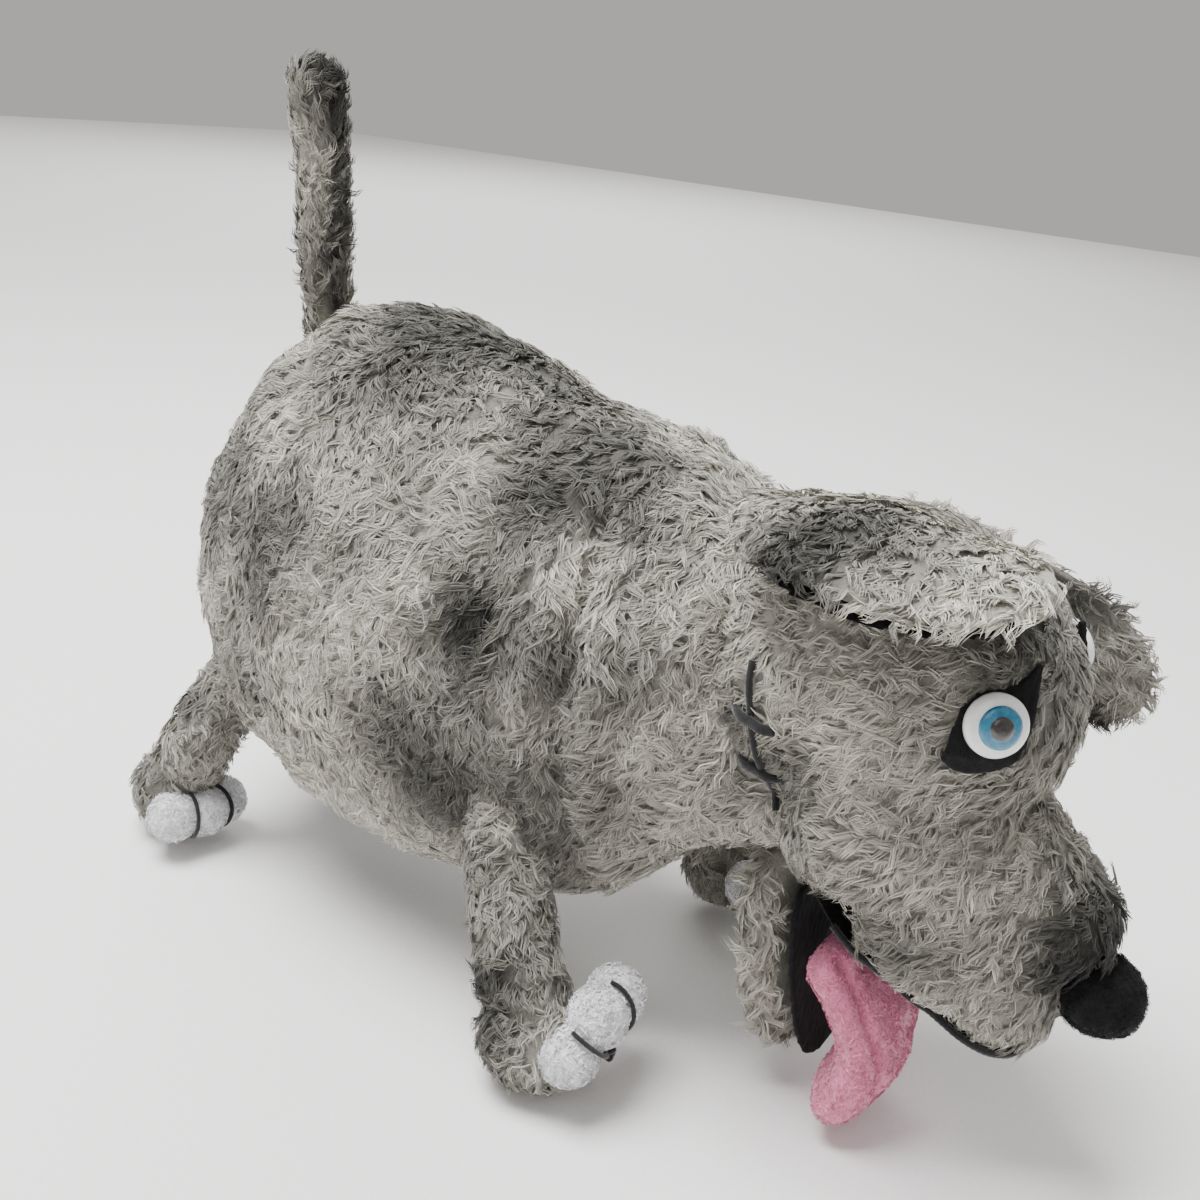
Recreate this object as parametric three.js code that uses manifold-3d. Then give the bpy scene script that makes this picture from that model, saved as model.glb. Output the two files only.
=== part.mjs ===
// Plush dog hand puppet, standing on its own four stuffed legs. Millimetres, +Z up, nose towards -Y,
// the dog's right side towards -X, the origin on the ground under the middle of the whole puppet.
import * as THREE from 'three';
import { mergeVertices } from 'three/addons/utils/BufferGeometryUtils.js';
import Module from 'manifold-3d';

const wasm = await Module();
wasm.setup();

// ---- driving dimensions --------------------------------------------------------------------------
const GAP = 0.5;              // clear space between pieces that are sewn or glued to each other
const MOVING_GAP = 1.2;       // clear space beside a piece that turns
const MIDDLE = { x: -2.39, y: -19.5 };   // the middle of the whole outline, moved to the origin at the end
const FAR = 250;              // reach of a cutting block, beyond the puppet on every side

// body sleeve: half widths, half heights and middle heights at even stations from neck to rump
const BODY = {
  front: -90, rear: 107.5, frontBlunt: 0.2, rearBlunt: 0.6,
  width: [36, 38, 43.5, 46.5, 48.5, 49.5, 47.5, 40],
  height: [43, 46, 59, 64, 72, 76, 73, 61],
  middle: [96, 92, 84.5, 82, 84, 84.5, 84, 81],
};
const WALL = 6;               // plush with its padding and pile
const LINING = 1.4;
const HAND_HOLE = { y: 38, halfWidth: 30, halfLength: 36, top: 70 };
const HEM = 2.4;
const HEM_PROUD = 0.6;

// neck sleeve, which turns on an upright axis in the body and lets the head nod on a level one
const TURN = { y: -20, radius: 42, rear: -50 };
const NOD = { y: -99, z: 104, radius: 38.5 };
const NECK_THROAT = { front: -59, top: 78 };

// head: [y, z, half width, half length, half height] of the rounded masses that make it up
const SKULL = [-86, 105, 34.5, 44, 36];
const CHEEK = [-95, 80, 34.5, 24, 30];
const MUZZLE_ROOT = [-105, 69, 28.5, 27, 32];
const MUZZLE_TIP = [-122, 57, 19.5, 20.5, 33];
const LIP = { y: -84, z: 60.5, slope: 30, middle: -92 };   // the upper lip falls towards the nose
const LIP_STEPS = 16;
const MOUTH_BACK = 14;        // the head is open this far above the mouth's corner, for the hand
const PLUSH = 3.5;
const FOAM = { halfWidth: 21, halfHeight: 13, y: -96, z: 86, halfLength: 34, back: -86 };
const FELT = 1.4;
const CORD = 0.9;
const NOSE = { y: -144, z: 52, radius: 9 };

// eyes: 12 mm plastic domes on a stem, each held by a washer behind the plush
const EYE = {
  x: -24.2, y: -116.4, z: 111.5, yaw: 52, pitch: 14,
  radius: 6, dome: 3.4, rim: 1.2, stem: 1.6, reach: 9, lidRoom: 3.5,
};
const WASHER = { radius: 5, thickness: 1.2 };
const PATCH_OUTLINE = [
  [-7.6, -8], [-3.6, -10.2], [4.9, -8.6], [7.8, -2.8], [8.7, 5.8], [9, 11.2], [4.3, 7], [-4.6, 4],
];

// cheek stitching on each side: [y, z] of the ends of the long seam and of its two cross stitches
const STITCH_WIDTH = 1.8;
const STITCHES = [[[-74, 111], [-80, 77]], [[-70, 104], [-79, 100]], [[-70, 94], [-79, 90]]];

// ears: flaps of plush with a felt underside, hinged along their seam on top of the head
const EAR = { halfLength: 32, half: 3.4, lining: 1.5, inset: 2.5 };
const EAR_RIGHT = { root: [-10, -91, 143], reach: 36, tilt: 12, bow: 2, skew: 2 };  // held out
const EAR_LEFT = { root: [-27, -84, 134], reach: 49, tilt: 64, bow: 3, skew: 32 };  // hanging

// lower jaw and tongue, drawn hanging straight down from the hinge at the back of the mouth
const JAW = { y: -74.5, z: 57, length: 57, halfWidth: 24, tipHalfWidth: 19.5, half: 7.2, lean: -9.5 };
const THUMB = { y: -76.5, halfWidth: 13, half: 2.8, bottom: 29 };   // pocket in the jaw for the thumb
const TONGUE = { halfWidth: 14, half: 4.6, x: -5 };

// legs as on the right side, which the left side mirrors, with the toes' middles from the ankle
const LEG_RADIUS = 11.5;
const FRONT_RIGHT = {
  name: 'front', hip: [-38, -16, 60], ankle: [-47, -41, 12.3], roll: 36,
  toes: [[-2, -10.5, 3], [4.5, -13, 10.5], [13, -12, 10.5]],
};
const FRONT_LEFT = {
  name: 'front', hip: [-36, -20, 60], ankle: [-42, -42, 12.3], roll: 24,
  toes: [[-5.89, -10.5, 0], [1.5, -13, 4.5], [9, -11, 5]],
};
const REAR = {
  name: 'rear', hip: [-29, 78, 56], ankle: [-33, 98, 12.3], roll: 6,
  toes: [[-8.5, -9.8, -0.6], [-0.2, -12, -1.5], [8.2, -9.8, -2.4]],
};
const LEG_SWING = [-18, -9, 0, 9, 18];
const PAW = [13, 16, 13.5];
const TOE_RADIUS = 7.4;
const THREAD = 1.3;
const THREAD_FOOT = 2;       // the threads end this far above the ground

const TAIL = { y: 75, z: 148, length: 62, radius: 7.2, tipRadius: 8.2, lean: 6 };
const TAIL_WAG = [-30, -15, 0, 15, 30];
const EAR_LIFTS = [0, 15, 30, 45, 60];

// ---- helpers -------------------------------------------------------------------------------------
const RAD = Math.PI / 180;

function solid(geometry) {
  const bare = geometry.clone();
  bare.deleteAttribute('normal');
  bare.deleteAttribute('uv');
  const merged = mergeVertices(bare, 1e-4);
  return new wasm.Manifold(new wasm.Mesh({
    numProp: 3,
    vertProperties: new Float32Array(merged.attributes.position.array),
    triVerts: new Uint32Array(merged.index.array),
  }));
}

function geometryOf(manifold) {
  const bodies = manifold.decompose().sort((a, b) => b.volume() - a.volume());
  const mesh = bodies[0].getMesh();
  const geometry = new THREE.BufferGeometry();
  geometry.setAttribute('position', new THREE.BufferAttribute(mesh.vertProperties, 3));
  geometry.setIndex(new THREE.BufferAttribute(mesh.triVerts, 1));
  geometry.computeVertexNormals();
  return geometry;
}

// moves every point of a geometry through a function
function shaped(geometry, move) {
  const place = geometry.attributes.position;
  const point = new THREE.Vector3();
  for (let i = 0; i < place.count; i++) {
    point.fromBufferAttribute(place, i);
    move(point);
    place.setXYZ(i, point.x, point.y, point.z);
  }
  return geometry;
}

function ellipsoid([y, z, halfWidth, halfLength, halfHeight], grow = 0, around = 16, rings = 11) {
  const ball = new THREE.SphereGeometry(1, around, rings);
  ball.scale(halfWidth + grow, halfLength + grow, halfHeight + grow);
  return solid(ball.translate(0, y, z));
}

// value at a share from 0 to 1 of the way along a list of evenly spaced values
function along(values, share) {
  const at = Math.min(Math.max(share, 0), 1) * (values.length - 1);
  const low = Math.min(Math.floor(at), values.length - 2);
  const t = at - low;
  return values[low] + (values[low + 1] - values[low]) * t * t * (3 - 2 * t);
}

function box(x0, x1, y0, y1, z0, z1) {
  const block = new THREE.BoxGeometry(x1 - x0, y1 - y0, z1 - z0);
  return solid(block.translate((x0 + x1) / 2, (y0 + y1) / 2, (z0 + z1) / 2));
}

function tube(points, radius, sides = 8, steps = 24) {
  const section = new THREE.Shape().absarc(0, 0, radius, 0, 2 * Math.PI);
  const path = new THREE.CatmullRomCurve3(points.map((p) => new THREE.Vector3(...p)));
  return new THREE.ExtrudeGeometry(section, {
    steps, extrudePath: path, curveSegments: sides, bevelEnabled: false,
  });
}

function turned(manifold, axis, centre, degrees) {
  const turn = new THREE.Matrix4().makeRotationAxis(new THREE.Vector3(...axis), degrees * RAD);
  const here = new THREE.Matrix4().makeTranslation(...centre);
  const back = new THREE.Matrix4().makeTranslation(...centre.map((v) => -v));
  return manifold.transform(here.multiply(turn).multiply(back).elements);
}

// trims a moving piece so that it clears what it is sewn to at each of the given angles
function clearing(piece, blocker, axis, centre, angles) {
  return angles.reduce((left, angle) => left.subtract(turned(blocker, axis, centre, -angle)), piece);
}

const mirrored = (manifold) => manifold.mirror([1, 0, 0]);

const puppet = new THREE.Group();
const moved = new THREE.Group();
moved.position.set(-MIDDLE.x, -MIDDLE.y, 0);
puppet.add(moved);

const FINISH = {
  plush: { color: 0xa9a69e, roughness: 0.95 },
  lining: { color: 0xb4b1a8, roughness: 0.9 },
  foam: { color: 0xe6e4dc, roughness: 0.95 },
  felt: { color: 0x1a1a1c, roughness: 0.95 },
  yarn: { color: 0x141416, roughness: 0.85 },
  fleece: { color: 0xe9e9ee, roughness: 0.95 },
  tongue: { color: 0xe283a8, roughness: 0.9 },
  eye: { color: 0xf2f2f2, roughness: 0.15 },
  washer: { color: 0xd8d8d4, roughness: 0.5 },
};

function add(name, shape, finish) {
  const geometry = shape.isBufferGeometry ? shape : geometryOf(shape);
  const material = new THREE.MeshStandardMaterial({ metalness: 0, ...FINISH[finish] });
  const mesh = new THREE.Mesh(geometry, material);
  mesh.name = name;
  moved.add(mesh);
}

// ---- body sleeve and neck ------------------------------------------------------------------------
function bodyForm(grow, around = 18, steps = 14) {
  const ball = new THREE.SphereGeometry(1, around, steps);
  const middle = (BODY.front + BODY.rear) / 2;
  const half = (BODY.rear - BODY.front) / 2 + grow;
  return solid(shaped(ball, (p) => {
    const ring = Math.hypot(p.x, p.z);
    const blunt = p.y < 0 ? BODY.frontBlunt : BODY.rearBlunt;
    const across = ring > 1e-5 ? ring ** blunt / ring : 0;
    const share = (p.y + 1) / 2;
    const x = p.x * across * (along(BODY.width, share) + grow);
    const z = p.z * across * (along(BODY.height, share) + grow);
    p.set(x, middle + p.y * half, along(BODY.middle, share) + z);
  }));
}

function upright(y, radius, sides = 28) {
  const post = new THREE.CylinderGeometry(radius, radius, 300, sides);
  return solid(post.rotateX(Math.PI / 2).translate(0, y, 100));
}

function handHole(shrink, low, high) {
  const post = new THREE.CylinderGeometry(1, 1, high - low, 18);
  post.rotateX(Math.PI / 2).scale(HAND_HOLE.halfWidth - shrink, HAND_HOLE.halfLength - shrink, 1);
  return solid(post.translate(0, HAND_HOLE.y, (low + high) / 2));
}

const bodyOuter = bodyForm(0, 24, 18);
const bodyGrown = bodyForm(MOVING_GAP, 24, 18);
const beforeTurn = box(-FAR, FAR, -FAR, TURN.y, -FAR, FAR);
const bodyCut = beforeTurn.subtract(upright(TURN.y, TURN.radius));

add('body_shell', bodyOuter.subtract(bodyForm(-WALL))
  .subtract(handHole(0, -FAR, HAND_HOLE.top))
  .subtract(bodyCut), 'plush');

const liningCut = beforeTurn.subtract(upright(TURN.y, TURN.radius - GAP));
const liningOuter = bodyForm(-WALL - GAP);
const liningInner = bodyForm(-WALL - GAP - LINING);
add('hand_lining', liningOuter.subtract(liningInner).subtract(liningCut)
  .subtract(handHole(-GAP, -FAR, HAND_HOLE.top)), 'lining');

const hemRing = handHole(GAP, -FAR, HAND_HOLE.top).subtract(handHole(GAP + HEM, -FAR - 1, HAND_HOLE.top + 1));
const hemLevel = bodyForm(HEM_PROUD, 24, 18).subtract(bodyForm(-WALL - LINING - GAP));
add('hem_band', hemRing.intersect(hemLevel), 'lining');

function nodCylinder(radius) {
  const drum = new THREE.CylinderGeometry(radius, radius, 200, 28);
  return solid(drum.rotateZ(Math.PI / 2).translate(0, NOD.y, NOD.z));
}

const throat = box(-FAR, FAR, -FAR, NECK_THROAT.front, -FAR, NECK_THROAT.top);
add('neck_sleeve', bodyOuter.subtract(bodyForm(-WALL)).intersect(box(-FAR, FAR, -FAR, TURN.rear, -FAR, FAR))
  .subtract(upright(TURN.y, TURN.radius + MOVING_GAP)).subtract(nodCylinder(NOD.radius + MOVING_GAP))
  .subtract(throat), 'plush');

// ---- head ----------------------------------------------------------------------------------------
function lipSlab(from, to) {
  const slab = new THREE.BoxGeometry(200, 300, to - from).translate(0, 0, (from + to) / 2);
  return solid(slab.rotateX(LIP.slope * RAD).translate(0, LIP.y, LIP.z));
}

const headMasses = [SKULL, CHEEK, MUZZLE_ROOT, MUZZLE_TIP];
const headForm = (grow) => headMasses.map((mass) => ellipsoid(mass, grow))
  .reduce((whole, next) => whole.add(next));

const headOuter = headForm(0);
const underLip = lipSlab(-100, 0);
const behindMouth = box(-FAR, FAR, LIP.y, FAR, -FAR, LIP.z + MOUTH_BACK);
const headInner = headForm(-PLUSH);
const backOfHead = box(-FAR, FAR, NOD.y, FAR, -FAR, FAR).subtract(nodCylinder(NOD.radius));
const headBody = headOuter.subtract(underLip).subtract(backOfHead);
const noseBall = ellipsoid([NOSE.y, NOSE.z, NOSE.radius, NOSE.radius, NOSE.radius], 0, 14, 10);
const noseSocket = ellipsoid([NOSE.y, NOSE.z, NOSE.radius, NOSE.radius, NOSE.radius], GAP, 14, 10);

// a piece drawn about the eye's own axis, which comes out of the head along +Z
function atEye(geometry) {
  geometry.rotateX(Math.PI / 2 - EYE.pitch * RAD);
  geometry.rotateZ(-EYE.yaw * RAD);
  return geometry.translate(EYE.x, EYE.y, EYE.z);
}

const eyeHole = solid(atEye(new THREE.CylinderGeometry(EYE.stem + GAP, EYE.stem + GAP, 60, 8)
  .rotateX(Math.PI / 2)));
const washerRoom = solid(atEye(new THREE.CylinderGeometry(WASHER.radius + GAP, WASHER.radius + GAP, 20, 20)
  .rotateX(Math.PI / 2).translate(0, 0, -EYE.reach - 3)));
const bothHoles = eyeHole.add(mirrored(eyeHole));
const bothRooms = washerRoom.add(mirrored(washerRoom));
const backOpening = ellipsoid([NOD.y + 34, NOD.z - 5, 27, 22, 30]);

const headCavity = headInner.subtract(lipSlab(-100, PLUSH));
add('head_shell', headBody.subtract(headCavity).subtract(backOpening).subtract(behindMouth)
  .subtract(noseSocket).subtract(bothHoles), 'plush');

const pocket = ellipsoid([FOAM.y, FOAM.z, FOAM.halfWidth, FOAM.halfLength, FOAM.halfHeight])
  .add(box(-FOAM.halfWidth, FOAM.halfWidth, -90, -40, 60, FOAM.z + FOAM.halfHeight));
const foamCut = box(-FAR, FAR, FOAM.back, FAR, -FAR, FAR);
add('head_foam', headForm(-PLUSH - GAP).subtract(lipSlab(-100, PLUSH + GAP)).subtract(pocket)
  .subtract(foamCut).subtract(backOfHead).subtract(noseSocket)
  .subtract(bothHoles).subtract(bothRooms), 'foam');

add('upper_mouth_felt', headForm(-1.5).intersect(lipSlab(-GAP - FELT, -GAP))
  .subtract(box(-FAR, FAR, LIP.y - 2, FAR, -FAR, FAR)), 'felt');

// points just inside the edge that the lip's plane cuts on the head, from one mouth corner to the other
const lipHeight = (y) => LIP.z + (y - LIP.y) * Math.tan(LIP.slope * RAD);
const inHead = (x, y, z) => headMasses.some(([my, mz, w, l, h]) =>
  (x / w) ** 2 + ((y - my) / l) ** 2 + ((z - mz) / h) ** 2 < 1);
const lipRoute = [];
for (let step = 0; step <= LIP_STEPS; step++) {
  const angle = Math.PI * (1.03 + 0.94 * step / LIP_STEPS);
  const at = (r) => [r * Math.cos(angle), LIP.middle + r * Math.sin(angle)];
  let reach = 5;
  while (inHead(...at(reach), lipHeight(at(reach)[1]))) reach += 0.25;
  const [x, y] = at(reach - CORD);
  lipRoute.push([x, y, lipHeight(y) - GAP - CORD]);
}
const lipCord = solid(tube(lipRoute, CORD, 2, 20));
add('lip_cord', lipCord.subtract(headForm(-1.5 + GAP).intersect(lipSlab(-20, 20))), 'yarn');
add('nose', noseBall, 'yarn');

// ---- eyes, their patches and washers, cheek stitches ---------------------------------------------
const flush = FELT + 2 * GAP;
const domeArc = [];
for (let i = 0; i <= 5; i++) {
  const turn = (i / 5) * Math.PI / 2;
  domeArc.push(new THREE.Vector2(EYE.radius * Math.cos(turn), flush + EYE.rim + EYE.dome * Math.sin(turn)));
}
domeArc[5].x = 0;
const eyeProfile = [new THREE.Vector2(0, -EYE.reach), new THREE.Vector2(EYE.stem, -EYE.reach),
  new THREE.Vector2(EYE.stem, flush), new THREE.Vector2(EYE.radius, flush), ...domeArc];
const eye = solid(atEye(new THREE.LatheGeometry(eyeProfile, 14).rotateX(Math.PI / 2)));

const ringProfile = [[EYE.stem + GAP, 0], [WASHER.radius, 0], [WASHER.radius, WASHER.thickness],
  [EYE.stem + GAP, WASHER.thickness], [EYE.stem + GAP, 0]].map(([r, h]) => new THREE.Vector2(r, h));
const washer = solid(atEye(new THREE.LatheGeometry(ringProfile, 12).rotateX(Math.PI / 2)
  .translate(0, 0, -EYE.reach + 1)));

const patchShape = new THREE.Shape();
patchShape.setFromPoints(new THREE.SplineCurve([...PATCH_OUTLINE, PATCH_OUTLINE[0]]
  .map(([x, y]) => new THREE.Vector2(x, y))).getPoints(20).slice(0, 20));
const patchBlock = new THREE.ExtrudeGeometry(patchShape, { depth: 30, bevelEnabled: false });
const patch = solid(atEye(patchBlock.translate(0, 0, -15)))
  .intersect(headForm(GAP + FELT).subtract(headForm(GAP))).subtract(eyeHole);

function stitch([[y0, z0], [y1, z1]]) {
  const length = Math.hypot(y1 - y0, z1 - z0);
  const bar = new THREE.BoxGeometry(40, length, STITCH_WIDTH);
  bar.rotateX(Math.atan2(z1 - z0, y1 - y0)).translate(-36, (y0 + y1) / 2, (z0 + z1) / 2);
  return solid(bar);
}
const stitches = STITCHES.map(stitch).reduce((whole, next) => whole.add(next))
  .intersect(headForm(GAP + STITCH_WIDTH).subtract(headForm(GAP)));

// ---- ears ----------------------------------------------------------------------------------------
// a flap that reaches out from the ear's seam, turned down by its tilt and bowed along its reach
function earFlap(hang, half, drop, inset) {
  const flap = new THREE.SphereGeometry(1, 16, 8);
  return solid(shaped(flap, (p) => {
    const out = (1 - p.x) / 2 * (hang.reach - inset);
    const share = out / hang.reach;
    const across = Math.sign(p.z) * Math.abs(p.z) ** 0.6 * half;
    const along = p.y * (EAR.halfLength - inset) - hang.skew * share;
    p.set(-out, along, across - 2 * hang.bow * share ** 2 - drop);
  })).rotate([0, -hang.tilt, 0]).translate(hang.root);
}
const eyeRoom = solid(atEye(new THREE.SphereGeometry(EYE.radius + EYE.lidRoom, 16, 12).translate(0, 0, 1)));
const skullGrown = headForm(STITCH_WIDTH + MOVING_GAP).add(eyeRoom);
function earPieces(hang) {
  const cleared = (piece) => clearing(piece, skullGrown, [0, 1, 0], hang.root, EAR_LIFTS);
  const below = EAR.half + GAP + EAR.lining / 2;
  const flap = cleared(earFlap(hang, EAR.half, 0, 0));
  const lining = cleared(earFlap(hang, EAR.lining / 2, below, EAR.inset))
    .subtract(earFlap(hang, EAR.half + GAP, 0, 0));
  return { flap, lining };
}

// ---- lower jaw, its felt and the tongue ----------------------------------------------------------
function jawForm(grow, deeper = 1) {
  const ball = new THREE.SphereGeometry(1, 16, 12).rotateX(Math.PI / 2);
  return solid(shaped(ball, (p) => {
    const share = (1 - p.z) / 2;
    const ring = Math.hypot(p.x, p.y);
    const across = ring > 1e-5 ? ring ** 0.55 / ring : 0;
    const wide = JAW.halfWidth + (JAW.tipHalfWidth - JAW.halfWidth) * share ** 1.5 + grow;
    const x = p.x * across * wide;
    const y = Math.sign(p.y) * Math.abs(p.y * across) ** 0.8 * (JAW.half + grow) * deeper;
    p.set(x, y, -share * (JAW.length + 2 * grow) + grow);
  })).rotate([JAW.lean, 0, 0]).translate([0, JAW.y, JAW.z]);
}
function jawSlab(from, to) {
  return box(-60, 60, from, to, -70, 20).rotate([JAW.lean, 0, 0]).translate([0, JAW.y, JAW.z]);
}
const jawOuter = jawForm(0);
const faceY = -JAW.half + 1.2;
const belowHinge = box(-60, 60, -200, 0, -20, JAW.z - 2);
const jawBody = jawOuter.intersect(jawSlab(faceY, 30)).intersect(belowHinge);
const thumbRoom = box(-THUMB.halfWidth, THUMB.halfWidth, THUMB.y - THUMB.half, THUMB.y + THUMB.half,
  THUMB.bottom, 100);
add('lower_jaw', jawBody.subtract(thumbRoom), 'plush');
add('lower_mouth_felt', jawForm(-2, 4).intersect(jawSlab(faceY - GAP - FELT, faceY - GAP))
  .intersect(belowHinge), 'felt');

const tongueRoute = [
  [0, -18, 40], [0, -24, 33], [0, -28.5, 25], [0, -29.5, 16], [0, -27.5, 8], [0, -25, 4],
];
const tongueSection = new THREE.Shape().absellipse(0, 0, TONGUE.halfWidth, TONGUE.half, 0, 2 * Math.PI);
const tongueBody = new THREE.ExtrudeGeometry(tongueSection, {
  steps: 12, curveSegments: 7, bevelEnabled: false,
  extrudePath: new THREE.CatmullRomCurve3(tongueRoute.map(([x, y, z]) => new THREE.Vector3(
    x + TONGUE.x, JAW.y + y, z + 1))),
});
add('tongue', solid(tongueBody), 'tongue');

// ---- legs ----------------------------------------------------------------------------------------
function leg(spec) {
  const [hx, hy, hz] = spec.hip;
  const [ax, ay, az] = spec.ankle;
  const up = new THREE.Vector3(hx - ax, hy - ay, hz - az);
  const slant = new THREE.Quaternion();
  const limb = (grow) => solid(new THREE.CapsuleGeometry(LEG_RADIUS + grow, up.length(), 4, 12)
    .applyQuaternion(slant.setFromUnitVectors(new THREE.Vector3(0, 1, 0), up.clone().normalize()))
    .translate((hx + ax) / 2, (hy + ay) / 2, (hz + az) / 2));
  const paw = (grow) => placedPaw(spec, new THREE.SphereGeometry(1, 12, 9)
    .scale(PAW[0] + grow, PAW[1] + grow, PAW[2] + grow));
  const sole = box(-FAR, FAR, -FAR, FAR, -FAR, 0);
  const whole = clearing(limb(0).add(paw(0)).subtract(sole), bodyGrown, [1, 0, 0], spec.hip, LEG_SWING);
  const lobes = (grow) => spec.toes.map((toe) => solid(new THREE.SphereGeometry(TOE_RADIUS + grow, 10, 7)
    .translate(ax + toe[0], ay + toe[1], az + toe[2]))).reduce((all, next) => all.add(next));
  const legRoom = paw(GAP).add(limb(GAP));
  const toes = lobes(0).subtract(legRoom).subtract(sole);
  const threads = [0, 1].map((gap) => threadBetween(spec.toes[gap], spec.toes[gap + 1], spec.ankle)
    .intersect(lobes(THREAD + 0.3)).subtract(lobes(0.3)).subtract(legRoom)
    .subtract(box(-FAR, FAR, -FAR, FAR, -FAR, THREAD_FOOT)));
  return { limb: whole, toes, threads };
}

// a thin upright plate in front of the groove between two toes
function threadBetween(toe, next, ankle) {
  const across = new THREE.Vector3(...next).sub(new THREE.Vector3(...toe)).normalize();
  const ahead = new THREE.Vector3(0, -1, 0).addScaledVector(across, across.y).normalize();
  const up = new THREE.Vector3().crossVectors(across, ahead);
  const frame = new THREE.Matrix4().makeBasis(across, ahead.clone().negate(), up.negate());
  const plate = new THREE.BoxGeometry(THREAD, 14, 22).translate(0, -6, 1).applyMatrix4(frame);
  const middle = toe.map((value, k) => (value + next[k]) / 2 + ankle[k]);
  return solid(plate.translate(...middle));
}

function placedPaw(spec, geometry) {
  geometry.rotateY(spec.roll * RAD);
  return solid(geometry.translate(...spec.ankle));
}

const same = (piece) => piece;
for (const [spec, side, turn] of [[FRONT_RIGHT, 'right', same], [FRONT_LEFT, 'left', mirrored],
  [REAR, 'right', same], [REAR, 'left', mirrored]]) {
  const parts = leg(spec);
  add(`${spec.name}_leg_${side}`, turn(parts.limb), 'plush');
  add(`${spec.name}_toes_${side}`, turn(parts.toes), 'fleece');
  add(`${spec.name}_toe_thread_${side}_outer`, turn(parts.threads[0]), 'yarn');
  add(`${spec.name}_toe_thread_${side}_inner`, turn(parts.threads[1]), 'yarn');
}

for (const [side, turn] of [['right', same], ['left', mirrored]]) {
  const pieces = earPieces(side === 'right' ? EAR_RIGHT : EAR_LEFT);
  add(`ear_${side}`, turn(pieces.flap), 'plush');
  add(`ear_lining_${side}`, turn(pieces.lining), 'felt');
  add(`eye_${side}`, turn(eye), 'eye');
  add(`eye_washer_${side}`, turn(washer), 'washer');
  add(`eye_patch_${side}`, turn(patch), 'felt');
  add(`cheek_stitches_${side}`, turn(stitches), 'yarn');
}

// ---- tail ----------------------------------------------------------------------------------------
const tailForm = shaped(new THREE.CapsuleGeometry(1, 2, 5, 14), (p) => {
  const share = (p.y + 2) / 4;
  const radius = TAIL.radius + (TAIL.tipRadius - TAIL.radius) * share;
  p.set(p.x * radius, -p.z * radius, share * (TAIL.length + 10) - 10);
});
const tail = solid(tailForm).rotate([-TAIL.lean, 0, 0]).translate([0, TAIL.y, TAIL.z]);
add('tail', clearing(tail, bodyGrown, [0, 1, 0], [0, TAIL.y, TAIL.z], TAIL_WAG), 'plush');

export default puppet;
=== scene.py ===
import math

import bpy
import numpy as np
from mathutils import Matrix, Vector
from mathutils.bvhtree import BVHTree


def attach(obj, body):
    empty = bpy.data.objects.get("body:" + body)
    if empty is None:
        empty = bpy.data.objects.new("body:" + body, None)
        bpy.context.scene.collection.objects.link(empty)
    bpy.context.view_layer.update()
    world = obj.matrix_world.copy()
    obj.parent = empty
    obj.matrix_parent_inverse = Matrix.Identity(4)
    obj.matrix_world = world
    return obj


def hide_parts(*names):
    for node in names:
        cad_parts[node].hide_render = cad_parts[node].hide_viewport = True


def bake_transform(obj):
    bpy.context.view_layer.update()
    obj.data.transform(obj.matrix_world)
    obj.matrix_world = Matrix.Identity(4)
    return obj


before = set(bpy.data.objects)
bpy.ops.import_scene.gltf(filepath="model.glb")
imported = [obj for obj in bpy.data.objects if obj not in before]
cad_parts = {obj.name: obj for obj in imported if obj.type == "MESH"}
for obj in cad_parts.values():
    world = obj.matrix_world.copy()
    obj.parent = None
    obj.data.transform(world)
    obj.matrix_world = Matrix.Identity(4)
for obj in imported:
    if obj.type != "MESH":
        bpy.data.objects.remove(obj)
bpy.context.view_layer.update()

SHIFT = np.array([2.39, 19.5, 0.0])


def at(*point):
    return tuple((np.array(point, float) + SHIFT) / 1000)


# ---- small geometry tools ------------------------------------------------------------------------
def unit(v):
    return v / np.maximum(np.linalg.norm(v, axis=-1, keepdims=True), 1e-9)


def waves(points, scale, seed, terms=8):
    """Smooth random value, mostly within -1 to 1, that changes over about scale mm."""
    rng = np.random.default_rng(seed)
    total = np.zeros(len(points))
    for _ in range(terms):
        d = unit(rng.normal(size=3))
        e = unit(rng.normal(size=3))
        bend = 1.4 * np.sin(points @ e * (2.2 / scale) + rng.uniform(0, 6.28))
        total += np.sin(points @ d * (rng.uniform(2.2, 4.2) / scale) + rng.uniform(0, 6.28) + bend)
    return total / math.sqrt(terms)


def spread(values, share):
    """Smooth curve through evenly spaced values."""
    v = np.array(values, float)
    at_ = np.clip(share, 0, 1) * (len(v) - 1)
    i = np.minimum(np.floor(at_).astype(int), len(v) - 2)
    t = at_ - i
    a, b = v[i], v[i + 1]
    before = v[np.maximum(i - 1, 0)]
    after = v[np.minimum(i + 2, len(v) - 1)]
    m0, m1 = (b - before) / 2, (after - a) / 2
    return ((2 * t**3 - 3 * t**2 + 1) * a + (t**3 - 2 * t**2 + t) * m0
            + (3 * t**2 - 2 * t**3) * b + (t**3 - t**2) * m1)


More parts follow.
